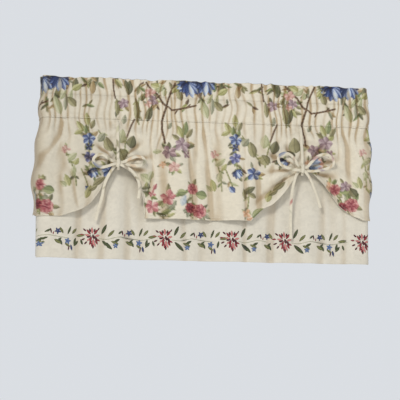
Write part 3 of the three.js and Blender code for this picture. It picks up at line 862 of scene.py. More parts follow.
# %% [markdown]
# A grid of cloth needs columns close together on the front, where the print is seen, and fewer on the
# returns. Round a corner the cloth outside the line is longer, and the print is moved along to match.

# %% Columns along the plan
def spaced(*runs):
    """Places along a line: from, to and pitch of each run, with an even number of steps in each."""
    line = []
    for start, end, pitch in runs:
        line.append(np.linspace(start, end, 2 * max(1, round((end - start) / pitch / 2)), endpoint=False))
    return np.append(np.concatenate(line), runs[-1][1])


def plan_columns(returns, corners, front):
    turned = FRONT_REACH + ARC
    return spaced((-PATH_END, -turned, returns), (-turned, -FRONT_REACH, corners),
                  (-FRONT_REACH, FRONT_REACH, front), (FRONT_REACH, turned, corners),
                  (turned, PATH_END, returns))


def print_place(x, out):
    turn = np.clip((np.abs(x) - FRONT_REACH) / CORNER, 0, math.pi / 2)
    return x + np.sign(x) * np.maximum(out, 0) * turn


# %% [markdown]
# ## The heading
# The top of the cloth is folded over to the back and sewn down twice. Above the first row of stitches it
# stands up as a frill of two layers. Between the rows it is a pocket that the rod fills. The formulas
# here say how far out each side of it stands.

# %% Shape of the heading
FRILL_DEPTH, PLEAT_DEPTH = 6.2, 3.2
END_FLARE = (2.5, 5.5)                 # how far the frill turns out at its left and right ends
POCKET_FRONT, POCKET_BACK = 8.2, 4.4   # how far the rod fills the pocket
STRAP_CLEAR = 16                       # the seam lies flat this near to a strap


def belly(z, top, low, power):
    """0 at top and at low and 1 half way, fuller with a higher power."""
    t = np.clip((top - z) / (top - low), 0, 1)
    return np.maximum(1 - np.abs(2 * t - 1) ** power, 0)


def clear_of_straps(s):
    return 1 - np.clip(near_knots(s, STRAP_CLEAR), 0, 1)


def heading_wave(s, z):
    rise = smooth(z, STITCH_Z, 0)
    frill = (FRILL_DEPTH * (ruffle_pleats.at(s, z) - 0.4) + 2.0 * (broad_pleats.at(s, z) - 0.4)) * rise
    ends = smooth(np.abs(s), 372, 404) * np.where(s < 0, *END_FLARE) * smooth(z, STITCH_Z - 12, STITCH_Z + 6)
    return gathers(s) * (0.3 + 0.7 * rise) * smooth(z, SEAM_Z - 40, STITCH_Z) + frill + ends


def heading_front(s, z):
    full = belly(z, STITCH_Z, SEAM_Z, 2.6)
    seam = smooth(z, SEAM_Z + 9, SEAM_Z) * (1.0 + 0.2 * gathers(s) + 3.0 * clear_of_straps(s))
    ease = np.where(z > STITCH_Z, 1 - 0.7 * smooth(z, STITCH_Z, -4), 0.6 + 0.4 * (1 - full))
    pleats = (PLEAT_DEPTH + 1.2 * full) * fine_pleats.at(s, z) + 3.4 * (broad_pleats.at(s, z) - 0.5) * full
    thread = 0.9 * bump(z - STITCH_Z, 1.7) + 0.25 * bump(z - SEAM_Z - 2, 1.5)
    return 1.2 + POCKET_FRONT * full + heading_wave(s, z) + pleats * ease + seam - thread


def heading_back(s, z):
    full = belly(z, STITCH_Z, SEAM_Z, 3.2)
    return heading_wave(s, z) * np.where(z > STITCH_Z, 1, 0.3) - 1.3 - POCKET_BACK * full


def top_dip(s, z):
    """How far the top edge of the frill sinks between its ruffles."""
    swing = 1.2 * (1 + np.sin(2 * math.pi * s / 182 + 0.8)) + 3.4 * ruffle_pleats.at(s + 9, z)
    return swing * smooth(z, STITCH_Z, 0)


# %% [markdown]
# One closed section is carried along the plan. Its outer loop goes up the front, over the fold and down
# the back, and its inner loop goes round the hollow of the pocket. The front has the most rows, because
# the print is seen there. A lip below it covers the top of the printed panel.

# %% Section of the heading
HEAD_COLUMNS = plan_columns(3, 2, 1.8)
FOLD_RADIUS = 1.2
FRONT_Z = np.linspace(SEAM_Z, -FOLD_RADIUS, 67)
BACK_Z = FRONT_Z[::-3]
HOLLOW_Z = np.linspace(SEAM_Z + 4, STITCH_Z - 4, 13)
FRONT, BACK, HOLLOW = 0, 1, 2


def heading_rows(s):
    """The two loops, as rows of how far out, how high, at what level of the cloth and on which side."""
    even = 0 * s
    front = heading_front(s, SEAM_Z)
    lip = (0.5 + 2.6 * fine_pleats.at(s, SEAM_Z)) * clear_of_straps(s)
    outer = [(front - 0.35, SEAM_Z + even, SEAM_Z, FRONT), (front, SEAM_Z - lip, SEAM_Z, FRONT)]
    outer += [(heading_front(s, z), z + even, z, FRONT) for z in FRONT_Z]
    for turn in (45, 90, 135):
        c, rise = cos_sin(turn)
        share = c / 2 + 0.5
        out = heading_front(s, -FOLD_RADIUS) * share + heading_back(s, -FOLD_RADIUS) * (1 - share)
        outer.append((out, FOLD_RADIUS * (rise - 1) + even, 0, BACK))
    outer += [(heading_back(s, z), z + even, z, BACK) for z in BACK_Z]
    full = belly(HOLLOW_Z, HOLLOW_Z[-1], HOLLOW_Z[0], 3)
    hollow = [(0.4 + 4.6 * f + even, z + even, z, HOLLOW) for z, f in zip(HOLLOW_Z, full)]
    hollow += [(-0.4 - 3.4 * f + even, z + even, z, HOLLOW) for z, f in zip(HOLLOW_Z[::-1], full[::-1])]
    return outer, hollow


# %% [markdown]
# Each loop is a grid of squares that closes on itself, and triangles between the two loops close the
# ends. The print runs on over the fold, so the back shows another part of it. Painted shade darkens the
# groove along the upper row of stitches.

# %% Heading
BACK_PRINT = 140           # on the back the print is mirrored: this less s


def end_faces(outer, hollow, column, columns, flip):
    loops = []
    for rows in (outer, hollow):
        loops.append([Vector((float(out[column]), float(z[column]), 0)) for out, z, _, _ in rows])
    points = loops[0] + loops[1]
    faces = []
    for a, b, c in tessellate_polygon(loops):
        up = (points[b] - points[a]).cross(points[c] - points[a]).z > 0
        if up == flip:
            b, c = c, b
        faces.append((a * columns + column, b * columns + column, c * columns + column))
    return faces


def heading_print_and_shade(s, outs, heights, side):
    place = np.where(side[:, None] == FRONT, print_place(s, outs), BACK_PRINT - s)
    dye = dyed(place, heights, PRINT_BASE).reshape(*outs.shape, 3)
    dye[side == HOLLOW] = PRINT_BASE
    front = side == FRONT
    # painted shade in the valleys of the pleats, on the returns and over the left side
    dye[front] *= fold_painted_shade(outs[front], 5, 1.0, 0.5) * end_shade(s)
    # painted shade along the groove of the upper row of stitches
    dye[front] *= 1 - 0.16 * bump(heights[front] - STITCH_Z, 1.4)[..., None]
    return dye.reshape(-1, 3)


def make_heading(s):
    outer, hollow = heading_rows(s)
    rows, n = outer + hollow, len(s)
    points = np.vstack([on_plan(s, out, z - top_dip(s, level)) for out, z, level, _ in rows])
    grid = np.arange(len(rows) * n).reshape(-1, n)
    shell, lining = grid[:len(outer)], grid[len(outer):]
    faces = quads(np.vstack([shell, shell[:1]]), ACROSS_FIRST)
    faces += quads(np.vstack([lining, lining[:1]]), DOWN_FIRST)
    ends = end_faces(outer, hollow, 0, n, False) + end_faces(outer, hollow, n - 1, n, True)
    outs, heights, side = (np.array([row[k] for row in rows]) for k in (0, 1, 3))
    flat = np.stack(np.broadcast_arrays(s, np.where(side[:, None] == FRONT, -heights, heights)), -1)
    last = (len(outer) - 1) * (n - 1)
    under_lip = [*range(n - 1), *range(last, last + n - 1)]
    sharp = under_lip + list(range(len(faces), len(faces) + len(ends)))
    dye = heading_print_and_shade(s, outs, heights, side)
    return new_piece("heading_cloth", points, faces + ends, flat.reshape(-1, 2), dye, sharp)


heading = make_heading(HEAD_COLUMNS)
print("heading", len(heading.data.polygons), "faces")

# %% [markdown]
# ## Thin cloths
# A panel is a single cloth. Its front is a fine grid of points that carries the print. Its back is seen
# far less, so it takes every second point. A rim joins the two, and the sheet is closed and 1.2 mm thick.

# %% Closed sheet from a grid
CLOTH = 1.2


def closed_sheet(name, middle, flat, dye, back_dye):
    normal = np.cross(np.gradient(middle, axis=0), np.gradient(middle, axis=1))
    normal[0, :, 2] = 0
    normal /= np.linalg.norm(normal, axis=2)[..., None]
    front = middle + normal * CLOTH / 2
    back = (middle - normal * CLOTH / 2)[::2, ::2]
    grid = np.arange(front[..., 0].size).reshape(front.shape[:2])
    rear = grid.size + np.arange(back[..., 0].size).reshape(back.shape[:2])
    faces = quads(grid, DOWN_FIRST) + quads(rear, ACROSS_FIRST)
    smooth_count = len(faces)
    for edge, behind, turn in ((grid[0], rear[0], 1), (grid[-1], rear[-1], -1),
                               (grid[:, 0], rear[:, 0], -1), (grid[:, -1], rear[:, -1], 1)):
        for k in range(len(behind) - 1):
            rim = [*edge[2 * k:2 * k + 3], behind[k + 1], behind[k]]
            faces.append([int(i) for i in rim[::turn]])
    points = np.vstack([front.reshape(-1, 3), back.reshape(-1, 3)])
    flats = np.vstack([flat.reshape(-1, 2), flat[::2, ::2].reshape(-1, 2)])
    dyes = np.vstack([dye.reshape(-1, 3), np.tile(back_dye, (rear.size, 1))])
    return new_piece(name, points, faces, flats, dyes, range(smooth_count, len(faces)))


# %% [markdown]
# ## The under panel
# The plain panel hangs straight from the seam, with soft upright folds that open towards its hem, and a
# few sharper creases low down. It swings out at its ends, most at the left, and its hem is hitched up
# along the returns. The hem is turned up and sewn, which shows as a shallow line.

# %% Shape of the under panel
UNDER_HEM = 22.0
UNDER_BACK = 1.7           # how far behind the plan line it is sewn on
UNDER_FLARE = (12, 3)      # how far it swings out at the left and right ends
HITCH = 10                 # how far a hem is hitched up along the returns
LOW_FOLDS_TOP = -300       # ripples and the hitched hem begin below this
UNDER_FOLDS = [  # x, width, depth, lean
    (-395, 30, 5, -6), (-318, 26, -5, 4), (-232, 20, 6, -4), (-178, 22, -4, 6), (-96, 30, 5, 0),
    (-8, 24, -5, 5), (74, 30, 4, -3), (150, 22, -4, 3), (262, 24, 5, -5), (316, 22, -5, 6), (372, 28, 4, 4),
]
UNDER_CREASES = [  # x, left width, right width, depth
    (-328, 14, 6, -4.0), (-268, 12, 6, -3.0), (-205, 16, 9, -2.4), (98, 10, 5, -3.0), (168, 16, 6, -5.0),
    (292, 15, 7, -4.0), (348, 9, 5, -2.5), (-60, 12, 7, -2.5),
]


def folds(rows, x, fall):
    return sum(depth * bump(x - at - lean * fall, width) for at, width, depth, lean in rows)


def flare(s, left, right):
    return smooth(np.abs(s), 250, FRONT_REACH) * np.where(s < 0, left, right)


def under_out(s, z):
    """How far out the panel hangs, with its broad folds only."""
    fall = (PANEL_TOP - z) / (PANEL_TOP + DROP)
    loose = smooth(fall, 0, 0.5)
    hang = folds(UNDER_FOLDS, s, fall) + flare(s, *UNDER_FLARE)
    return gathers(s) * 0.3 * (1 - loose) - UNDER_BACK + loose * hang


def end_rise(s):
    return HITCH * smooth(np.abs(s), 408, 455)


def under_z(s, level):
    return level + end_rise(s) * smooth(level, LOW_FOLDS_TOP, -DROP)


def under_surface(s, z):
    hem = z + DROP
    line = -0.5 * bump(hem - UNDER_HEM, 1.6) + 0.25 * smooth(UNDER_HEM - hem, 0, 2)
    ripple = 0.7 * np.sin(2 * math.pi * s / 61 + 0.6) + 0.5 * np.sin(2 * math.pi * s / 37 + 2)
    lean = 5 * np.sin(z / 70 + s / 90)
    crease = sum(depth * lopsided(s + lean - at, left, right) for at, left, right, depth in UNDER_CREASES)
    return under_out(s, z) + line + ripple * smooth(z, LOW_FOLDS_TOP, -DROP) + crease * smooth(z, -240, -330)


# %% [markdown]
# Its rows lie far apart at the top, where the printed panel hides it, and close together below.

# %% Under panel
UNDER_COLUMNS = plan_columns(4, 2.2, 2.4)
HIDDEN = 120 - PANEL_TOP
UNDER_ROWS = -spaced((-PANEL_TOP, HIDDEN, 6), (HIDDEN, DROP, 2.6))
s, z = np.meshgrid(UNDER_COLUMNS, UNDER_ROWS)
out = under_surface(s, z)
# painted shade in the valleys of the folds
dye = PLAIN_BASE * fold_painted_shade(out, 11, 2.8, 0.2)
place = on_plan(s, out, under_z(s, z))
under = closed_sheet("under_panel_cloth", place, np.stack([s, -z], -1), dye, PLAIN_BASE * 0.96)
print("under panel", len(under.data.polygons), "faces")

# %% [markdown]
# ## The printed panel
# Each bow lifts the hem to a knot, and the cloth between is pushed up into stacked folds. The hem is
# drawn as an arch on each side of a knot: rows of how far out and how far raised it lies. Every thread
# that leaves the seam is sent to its place on that hem, and the slack stands out in folds.

# %% Arches of the hem
TIE_UPS = {  # reach of the seam, then out and raise along the arch from its far end to the knot
    ("left", -1): (140, [(140, 0), (91, 17), (74, 26), (59, 42), (44.5, 62), (30, 97), (13, 122), (0, 134)]),
    ("left", 1): (112, [(70.5, 0), (68, 38), (60, 72), (50, 95), (32, 114), (0, 134)]),
    ("right", -1): (148, [(129, 0), (112, 17), (96, 33), (80, 38), (67, 48), (51, 65), (34, 86), (16, 113),
                          (0, 134)]),
    ("right", 1): (162, [(162, 0), (137, 12), (100, 43), (60, 95), (41, 110), (23, 128), (0, 134)]),
}


def along_arch(rows, share):
    """The arch with its corners rubbed off, at a share of its length."""
    rows = np.array(rows, float)
    run = np.concatenate([[0], np.cumsum(np.hypot(*np.diff(rows, axis=0).T))])
    even = np.linspace(0, run[-1], 240)
    line = np.stack([np.interp(even, run, rows[:, k]) for k in (0, 1)])
    for _ in range(140):
        line[:, 1:-1] = (line[:, :-2] + 2 * line[:, 1:-1] + line[:, 2:]) / 4
    wanted = np.clip(share, 0, 1) * run[-1]
    return np.interp(wanted, even, line[0]), np.interp(wanted, even, line[1])


def hem_at(s):
    low = 9 * smooth(s, 340, 400) + end_rise(s) - FACE_DROP
    x, z = s.copy(), low.copy()
    for (side, way), (reach, rows) in TIE_UPS.items():
        away = way * (s - KNOTS[side])
        mine = (away >= 0) & (away <= reach)
        out, lift = along_arch(rows, 1 - away / reach)
        x = np.where(mine, KNOTS[side] + way * out, x)
        z = np.where(mine, low + lift, z)
        lean = way * (reach - rows[0][0]) * (1 - smooth(away, reach, reach + 90))
        x = np.where(away > reach, x - lean, x)
    return x, z


def face_length(s):
    hem_x, hem_z = hem_at(s)
    return np.hypot(hem_x - s, PANEL_TOP - hem_z)


# %% [markdown]
# Some folds have a place of their own. Soft upright folds hang from the seam, puckers run out from each
# knot like spokes, and single creases lie where the cloth has bent over. A pucker is never deeper than
# it is wide, so that the cloth doesn't pass through itself.

# %% Folds of the printed panel
FACE_FOLDS = [  # x, width, depth, lean
    (-360, 26, -8, -36), (-318, 22, 6, -10), (-120, 20, -6, 8), (-75, 26, 5, 6), (-34, 15, -7, -4),
    (18, 20, -9, 4), (78, 28, 6, 0), (138, 18, -8, -6), (352, 16, -6, 8), (384, 14, 5, 4),
]
KNOT_FOLDS = {  # direction from the knot in degrees, spread, depth, reach
    "left": [(214, 8, 3.5, 110), (199, 5, -5, 120), (184, 7, 4, 110), (169, 5, -5, 110), (154, 7, 4, 100),
             (138, 5, -4, 90), (122, 7, 3, 80), (58, 7, 3, 80), (43, 5, -4.5, 100), (29, 6, 4, 110),
             (14, 5, -5.5, 110), (0, 6, 4, 100), (-14, 5, -5, 90), (-30, 7, 3, 80)],
    "right": [(226, 7, 3, 110), (213, 4, -6, 120), (200, 6, 4.5, 120), (186, 5, -4, 110), (171, 7, 4, 120),
              (155, 5, -5, 120), (140, 7, 3.5, 100), (124, 5, -4, 90), (60, 6, 3, 90), (46, 5, -4.5, 110),
              (31, 6, 2, 120), (16, 5, -5, 120), (2, 6, 3, 110), (-12, 5, -4.5, 110), (-25, 6, 4, 110),
              (-38, 4, -6, 100), (-50, 6, 3, 90)],
}
CREASES = [  # left width, right width, depth, then the points x, z down the crease
    (16, 5, -6.5, [(-366, -117), (-374, -150), (-390, -178), (-408, -204), (-413, -230)]),
    (17, 5, -7.0, [(-11, -131), (-2, -206), (6, -281), (9, -340)]),
    (10, 4, -4.5, [(-54, -147), (-48, -208), (-43, -258)]),
    (8, 4, -4.5, [(88, -214), (92, -277), (95, -345)]),
    (11, 6, -5.0, [(122, -226), (128, -276), (131, -314)]),
    (10, 7, -5.0, [(178, -148), (168, -187), (159, -231)]),
    (9, 5, -4.5, [(350, -125), (358, -168), (361, -224)]),
    (7, 4, -3.0, [(335, -124), (338, -159), (335, -190)]),
    (9, 5, -4.0, [(-345, -240), (-338, -285), (-330, -330)]),
    (7, 4, -3.0, [(-150, -150), (-146, -195), (-140, -235)]),
]


def knot_folds(x, z):
    out = 0
    for side, rows in KNOT_FOLDS.items():
        dx, dz = x - KNOTS[side], z - KNOT_Z
        far = np.hypot(dx, dz)
        turn = np.degrees(np.arctan2(dz, dx))
        for at, spread, depth, reach in rows:
            off = (turn - at + 180) % 360 - 180
            limit = 0.8 * far * math.radians(spread)
            swell = smooth(far, 10, 40) * (1 - smooth(far, 0.4 * reach, reach))
            out = out + np.clip(depth, -limit, limit) * bump(off, spread) * swell * (1 - bump(dx, 12))
    return out


def creases(x, z):
    out = 0
    for left, right, depth, points in CREASES:
        place = np.array(points[::-1], float)
        low, high = place[0, 1], place[-1, 1]
        off = x - np.interp(z, place[:, 1], place[:, 0])
        ends = smooth(z, low - 26, low + 14) * (1 - smooth(z, high - 14, high + 20))
        out = out + depth * lopsided(off, left, right) * ends
    return out


def hem_roll(x, hem):
    """Left of the right bow the hem rolls forward, with a crease above the roll."""
    off = KNOTS["right"] - x
    here = smooth(off, 26, 50) * (1 - smooth(off, 96, 124))
    return here * (6.5 * bump(hem - 10, 10) - 4.5 * bump(hem - 31, 8))


# %% [markdown]
# The surface is the sum of all this. A place on it is given by s on the seam and by v, the share of the
# way down to the hem. The strap in front presses the cloth flat, the strap behind holds it out, and the
# knot pinches the stacked folds. Where the sum would dip into the plain panel, it is eased off in front.

# %% Shape of the printed panel
DRAW_EASE = 0.4            # how far the way to the hem is bent: upright at both ends
BUNCH_FOLDS = 2.3          # how many folds are stacked above a knot
BUNCH_SHARE = 0.55         # how much of the slack stands out in them
BUNCH_FULL = 0.55          # share of the way down where they are full
CALM_SLACK = 60            # with this much slack there are no soft folds
FACE_FRONT = 3.4           # how far in front of the plain panel it is sewn on
FACE_LIFT = 10             # how much further it stands out where it hangs free
FACE_LOOSE = 0.35          # share of the way down where it does
FACE_FLARE = (-10, -14)    # how much less at the left and right ends
SEAM_EDGE, SEAM_FADE = 2.3, 0.24        # height of its gathered edge, and where that ends
STRAP, BESIDE_STRAP, BESIDE_KNOT = 11, 34, 28   # half widths of what is pressed and pinched
STRAP_OUT = 5              # how far the strap behind holds the cloth out
PLEAT_RUN = 135            # length of the longest pleats below the seam
PANEL_GAP = 2.4            # kept between the middles of the two panels
FACE_HEM = 8.0


def stacked_folds(x, v, slack, length, press):
    pinch = near_knots(x, BESIDE_KNOT) * smooth(v, 0.5, 1)
    flat = (1 - 0.5 * press) * (1 - 0.55 * pinch)
    depth = flat * BUNCH_SHARE * np.sqrt(slack * length) / (math.pi * BUNCH_FOLDS)
    return depth * (1 - np.cos(2 * math.pi * BUNCH_FOLDS * v)) * smooth(v, 0, BUNCH_FULL)


def soft_folds(x, v, slack, near_strap):
    calm = 1 - smooth(slack, 0, CALM_SLACK)
    loose = smooth(v, 0, FACE_LOOSE)
    lift = FACE_LIFT * (loose * near_strap + smooth(v, 0, SEAM_FADE) * (1 - near_strap))
    return lift + loose * (calm * folds(FACE_FOLDS, x, v) + flare(x, *FACE_FLARE) * v)


def small_folds(s, x, z, v, hem):
    line = -0.45 * bump(hem - FACE_HEM, 1.5) + 0.3 * smooth(FACE_HEM - hem, 0, 2)
    pleats = PLEAT_DEPTH * fine_pleats.at(s, z, fade_over=PLEAT_RUN)
    wrinkles = 0.8 * np.sin(x / 8 + 2.2 * np.sin(z / 37)) * np.sin(z / 46 + x / 29) * smooth(v, 0.1, 0.4)
    return line, pleats + wrinkles


def face_surface(s, v):
    hem_x, hem_z = hem_at(s)
    x = s + (hem_x - s) * (v + DRAW_EASE * (smooth(v, 0, 1) - v))
    z = PANEL_TOP + (hem_z - PANEL_TOP) * v
    length = face_length(s)
    slack = np.maximum(FACE_DROP + SEAM_Z - length, 0)
    hem = (1 - v) * length
    press = near_knots(x, STRAP)
    near_strap = np.clip(near_knots(x, BESIDE_STRAP), 0, 1)
    seam = SEAM_EDGE * clear_of_straps(x) * (1 - smooth(v, 0, SEAM_FADE))
    seam = seam + STRAP_OUT * press * smooth(v, 0, 0.08)
    bunch = stacked_folds(x, v, slack, length, press)
    line, small = small_folds(s, x, z, v, hem)
    placed = knot_folds(x, z) + creases(x, z) * (1 - near_strap) + hem_roll(x, hem)
    out = under_out(x, z) + FACE_FRONT + seam + soft_folds(x, v, slack, near_strap) + bunch
    out = out + small * (1 - press) + placed + line
    gap = out - under_surface(x, z) - PANEL_GAP
    return x, z, out + (np.sqrt(gap ** 2 + 4) - gap) / 2 * smooth(v, 0, 0.1)


# %% [markdown]
# The panel is painted where it hangs. Three painted shades go over the print: one for the ends and the left
# side, one for the fold valleys, sharper near the seam where the gathers are fine, and one for the valleys
# around the knots.

# %% Printed panel
FACE_COLUMNS = plan_columns(3.2, 2, 1.8)
FACE_ROWS = 139
VALLEY_SHADE_HUE = np.array([0.27, 0.34, 0.42])
s, v = np.meshgrid(FACE_COLUMNS, np.linspace(0, 1, FACE_ROWS))
x, z, out = face_surface(s, v)
near_seam = (1 - smooth(v, 0.05, 0.3))[..., None]
# print, with painted shade on the returns and over the left side
dye = dyed(print_place(x, out), z, PRINT_BASE).reshape(*x.shape, 3) * end_shade(s)
# painted shade in the fold valleys, sharper near the seam
dye *= fold_painted_shade(out, 10, 2.2, 0.34) * (1 - near_seam) + fold_painted_shade(out, 5, 1.0, 0.45) * near_seam
# painted shade in the valleys of the puckers round the knots and in the crease above the hem roll
drawn = knot_folds(x, z) + hem_roll(x, (1 - v) * face_length(s))
dye *= 1 - np.clip(-drawn / 3, 0, 1)[..., None] * VALLEY_SHADE_HUE
flat = np.stack([s, v * (FACE_DROP + SEAM_Z) - SEAM_Z], -1)
face = closed_sheet("face_panel_cloth", on_plan(x, out, z), flat, dye, PRINT_BASE * 0.94)
print("printed panel", len(face.data.polygons), "faces")

# %% [markdown]
# ## Needlework
# The border on the plain panel is satin stitch: threads laid side by side that stand up from the cloth as
# small cushions. Each petal and leaf is a low ridge, pointed at both ends, and a vine is the same ridge
# drawn out along a line. They are gathered in one list and set on the cloth at the end, so that every
# stitch follows the folds. The machine stitches of the seams and hems are short ridges of the same kind.

# %% Satin stitch
PETAL = ((0, 0), (0.15, 0.6), (0.4, 1), (0.66, 0.94), (0.88, 0.5), (1, 0))   # shares of length and width
EDGE_HIGH, PETAL_HIGH, VINE_HIGH, STITCH_HIGH = 0.12, 0.9, 0.5, 0.3
# a ridge's crest takes a painted highlight and its edges a painted shade
CREST_HIGHLIGHT, EDGE_SHADE = 1.08, 0.8


class Needlework:
    def __init__(self, place):
        self.place = place
        self.points, self.faces, self.dye = [], [], []

    def ridge(self, rows, high, dye):
        """Rows of a place and half a width. The first and the last are points."""
        first = len(self.points)
        line = np.array([row[:2] for row in rows], float)
        ahead = np.gradient(line, axis=0)
        ahead /= np.linalg.norm(ahead, axis=1)[:, None]
        for i, (a, b, half) in enumerate(rows):
            ends = i in (0, len(rows) - 1)
            for side in ((0,) if ends else (-1, 0, 1)):
                crest = side == 0 and not ends
                lift = high if crest else EDGE_HIGH
                self.points.append((a - ahead[i][1] * half * side, b + ahead[i][0] * half * side, lift))
                # painted highlight on the crest, painted shade on the edges
                self.dye.append(dye * (CREST_HIGHLIGHT if crest else EDGE_SHADE))
        last = len(self.points) - 1
        low, mid, top = ([first + 1 + 3 * k + j for k in range(len(rows) - 2)] for j in (0, 1, 2))
        self.faces += [(first, low[0], mid[0]), (first, mid[0], top[0])]
        for k in range(len(low) - 1):
            self.faces += [(low[k], low[k + 1], mid[k + 1], mid[k]), (mid[k], mid[k + 1], top[k + 1], top[k])]
        self.faces += [(low[-1], last, mid[-1]), (mid[-1], last, top[-1])]
        self.faces.append((first, *top, last, *low[::-1]))

    def petal(self, a, b, length, width, turn, dye, high=PETAL_HIGH):
        self.ridge([(*beside(a, b, turn, length * t), width / 2 * share) for t, share in PETAL], high, dye)

    def vine(self, points, width, dye):
        line, _ = smooth_line([(a, b, 0) for a, b in points], 8 * len(points))
        self.ridge([(a, b, width / 2) for a, b, _ in line], VINE_HIGH, dye)

    def sew(self, name):
        a, b, lift = np.array(self.points).T
        s, out, z = self.place(a, b)
        points = on_plan(s, out + CLOTH / 2 + lift, z)
        return new_piece(name, points, self.faces, np.column_stack([a, -b]), np.array(self.dye))


def on_under(a, b):
    return a, under_surface(a, b), under_z(a, b)


# %% [markdown]
# One repeat of the border is a red spray with two leaves up and one down, then blue stars, dark buds and
# small leaves on a thin vine. Its rows give places from the middle of the spray. The sprays lie unevenly
# along the hem, because the cloth is folded between them.

# %% Threads of the border
THREADS = {
    "red": linear(144, 46, 54), "crimson": linear(82, 24, 32), "pink": linear(206, 134, 128),
    "leaf": linear(72, 80, 46), "moss": linear(116, 118, 72), "vine": linear(170, 172, 136),
    "blue": linear(98, 120, 160), "navy": linear(58, 68, 108), "sky": linear(160, 178, 204),
}
SPRAY = [  # a, b, length, width, turn, thread
    (-2, 6, 20, 9, 128, "red"), (2, 8, 20, 9, 94, "pink"), (6, 6, 20, 9, 54, "red"),
    (-3, 3, 17, 8, 168, "pink"), (8, 2, 16, 8, 14, "pink"), (-1, 4, 15, 9, 205, "crimson"),
    (3, 7, 16, 9, 285, "crimson"), (0, 2, 18, 9, 252, "red"), (8, 2, 18, 9, 300, "crimson"),
    (4, -5, 19, 10, 275, "pink"), (0, -8, 16, 8, 246, "red"), (9, -7, 16, 8, 300, "red"),
    (4, -19, 12, 7, 268, "crimson"), (-13, 14, 13, 6, 140, "crimson"), (-18, 5, 13, 6, 172, "red"),
    (-16, -4, 13, 6, 204, "crimson"), (-11, -11, 12, 6, 228, "crimson"), (15, 16, 11, 5, 58, "crimson"),
    (-2, 12, 12, 6, 110, "crimson"), (6, 12, 12, 6, 70, "crimson"), (13, -5, 12, 6, 330, "red"),
    (2, -13, 14, 7, 262, "red"), (7, -14, 13, 6, 286, "pink"), (-5, -3, 12, 6, 232, "pink"),
]
REPEAT = [  # a, b, length, width, turn, thread
    (25, 7, 25, 6.5, 64, "leaf"), (40, 1, 21, 6, 46, "moss"), (26, -8, 30, 8, -42, "leaf"),
    (78, 5, 16, 5.5, 98, "crimson"), (82, 2, 11, 4, 78, "red"), (85, -9, 19, 7, -28, "moss"),
    (119, 4, 21, 4.5, 68, "leaf"), (123, -22, 17, 5, -100, "crimson"), (127, -20, 14, 4.5, -78, "navy"),
    (135, -21, 17, 5, 76, "leaf"), (141, 2, 20, 6, 8, "moss"), (66, 8, 12, 4, 40, "leaf"),
    (104, -4, 12, 4, -140, "leaf"), (152, -6, 13, 4.5, -70, "leaf"), (48, -10, 18, 6, -20, "moss"),
    (70, -4, 16, 5.5, -150, "leaf"), (96, -6, 17, 6, -60, "leaf"), (108, 6, 16, 5.5, 120, "moss"),
    (130, 6, 17, 5.5, 50, "moss"), (146, -10, 16, 5.5, -130, "leaf"), (112, -18, 14, 5, -30, "moss"),
]
STARS = [  # a, b, size, turn, outer and inner thread
    (59, -21, 15, 20, "blue", "sky"), (94, 12, 17, 50, "navy", "blue"), (119, -12, 17, 5, "blue", "navy"),
]
VINE = [(18, -3), (39, -5), (68, 1), (96, -2), (125, -5), (153, 0), (166, 1)]
SPRAY_PLACES = [-472, -293, -112, 58, 193, 394]
SPRAY_Z = -403
print("one repeat has", len(SPRAY) + len(REPEAT), "petals and leaves")

# %% [markdown]
# A repeat ends where the next spray begins or where the cloth does, and a row that would lie past the
# free edge on either side is left out. Red petals are worked smaller than charted, and the rest larger.

# %% Embroidered border
REDS = ("red", "pink", "crimson")
RED_SCALE, OTHER_SCALE = (0.82, 0.7), (1.12, 1.2)   # of the length and the width
NEXT_PLACE = 560           # where one more spray would lie, past the end
SPRAY_SPACE, EDGE_CLEAR, FLOWER_CLEAR = 26, 6, 12   # kept free before a spray and at the free edges

border = Needlework(on_under)
for at, after in zip(SPRAY_PLACES, SPRAY_PLACES[1:] + [NEXT_PLACE]):
    space = min(after - SPRAY_SPACE, PATH_END - EDGE_CLEAR) - at
    start = EDGE_CLEAR - PATH_END - at
    rows = [row for row in SPRAY if abs(at + row[0]) < PATH_END - FLOWER_CLEAR]
    rows += [row for row in REPEAT if start < row[0] < space]
    for a, b, length, width, turn, thread in rows:
        longer, wider = RED_SCALE if thread in REDS else OTHER_SCALE
        border.petal(at + a, SPRAY_Z + b, length * longer, width * wider, turn, THREADS[thread])
    for a, b, size, turn, outer, inner in STARS:
        if FLOWER_CLEAR - PATH_END < at + a < space + at:
            for k in range(5):
                border.petal(at + a, SPRAY_Z + b, size * 0.5, size * 0.28, turn + 72 * k, THREADS[outer])
            border.petal(at + a - size * 0.1, SPRAY_Z + b, size * 0.2, size * 0.2, turn, THREADS[inner], 1.2)
    line = [(at + a, SPRAY_Z + b) for a, b in VINE if start < a < space]
    if len(line) > 2:
        border.vine(line, 1.2, THREADS["vine"])
border_threads = border.sew("border_embroidery")
print("border", len(border_threads.data.polygons), "faces")

# %% [markdown]
# A sewing machine leaves a row of short stitches, 3.6 to 4 mm each with a small gap. Two rows close the
# rod pocket, and one row holds each hem.

# %% Machine stitches
THREAD = linear(226, 218, 198)
STITCH_POINT, STITCH_HALF = 0.6, 0.4   # length of a pointed end or a gap, and half a width
STITCH_PITCH, HEM_PITCH = 4.2, 4.6


def stitch_row(work, level, pitch):
    for a in np.arange(-PATH_END + 3, PATH_END - 5, pitch):
        end = a + pitch - STITCH_POINT
        rows = [(a, level, 0), (a + STITCH_POINT, level, STITCH_HALF),
                (end - STITCH_POINT, level, STITCH_HALF), (end, level, 0)]
        work.ridge(rows, STITCH_HIGH, THREAD)


def on_heading(a, b):
    return a, heading_front(a, b) - CLOTH / 2, b


def on_face(a, b):
    x, z, out = face_surface(a, 1 - b / face_length(a))
    return x, out, z


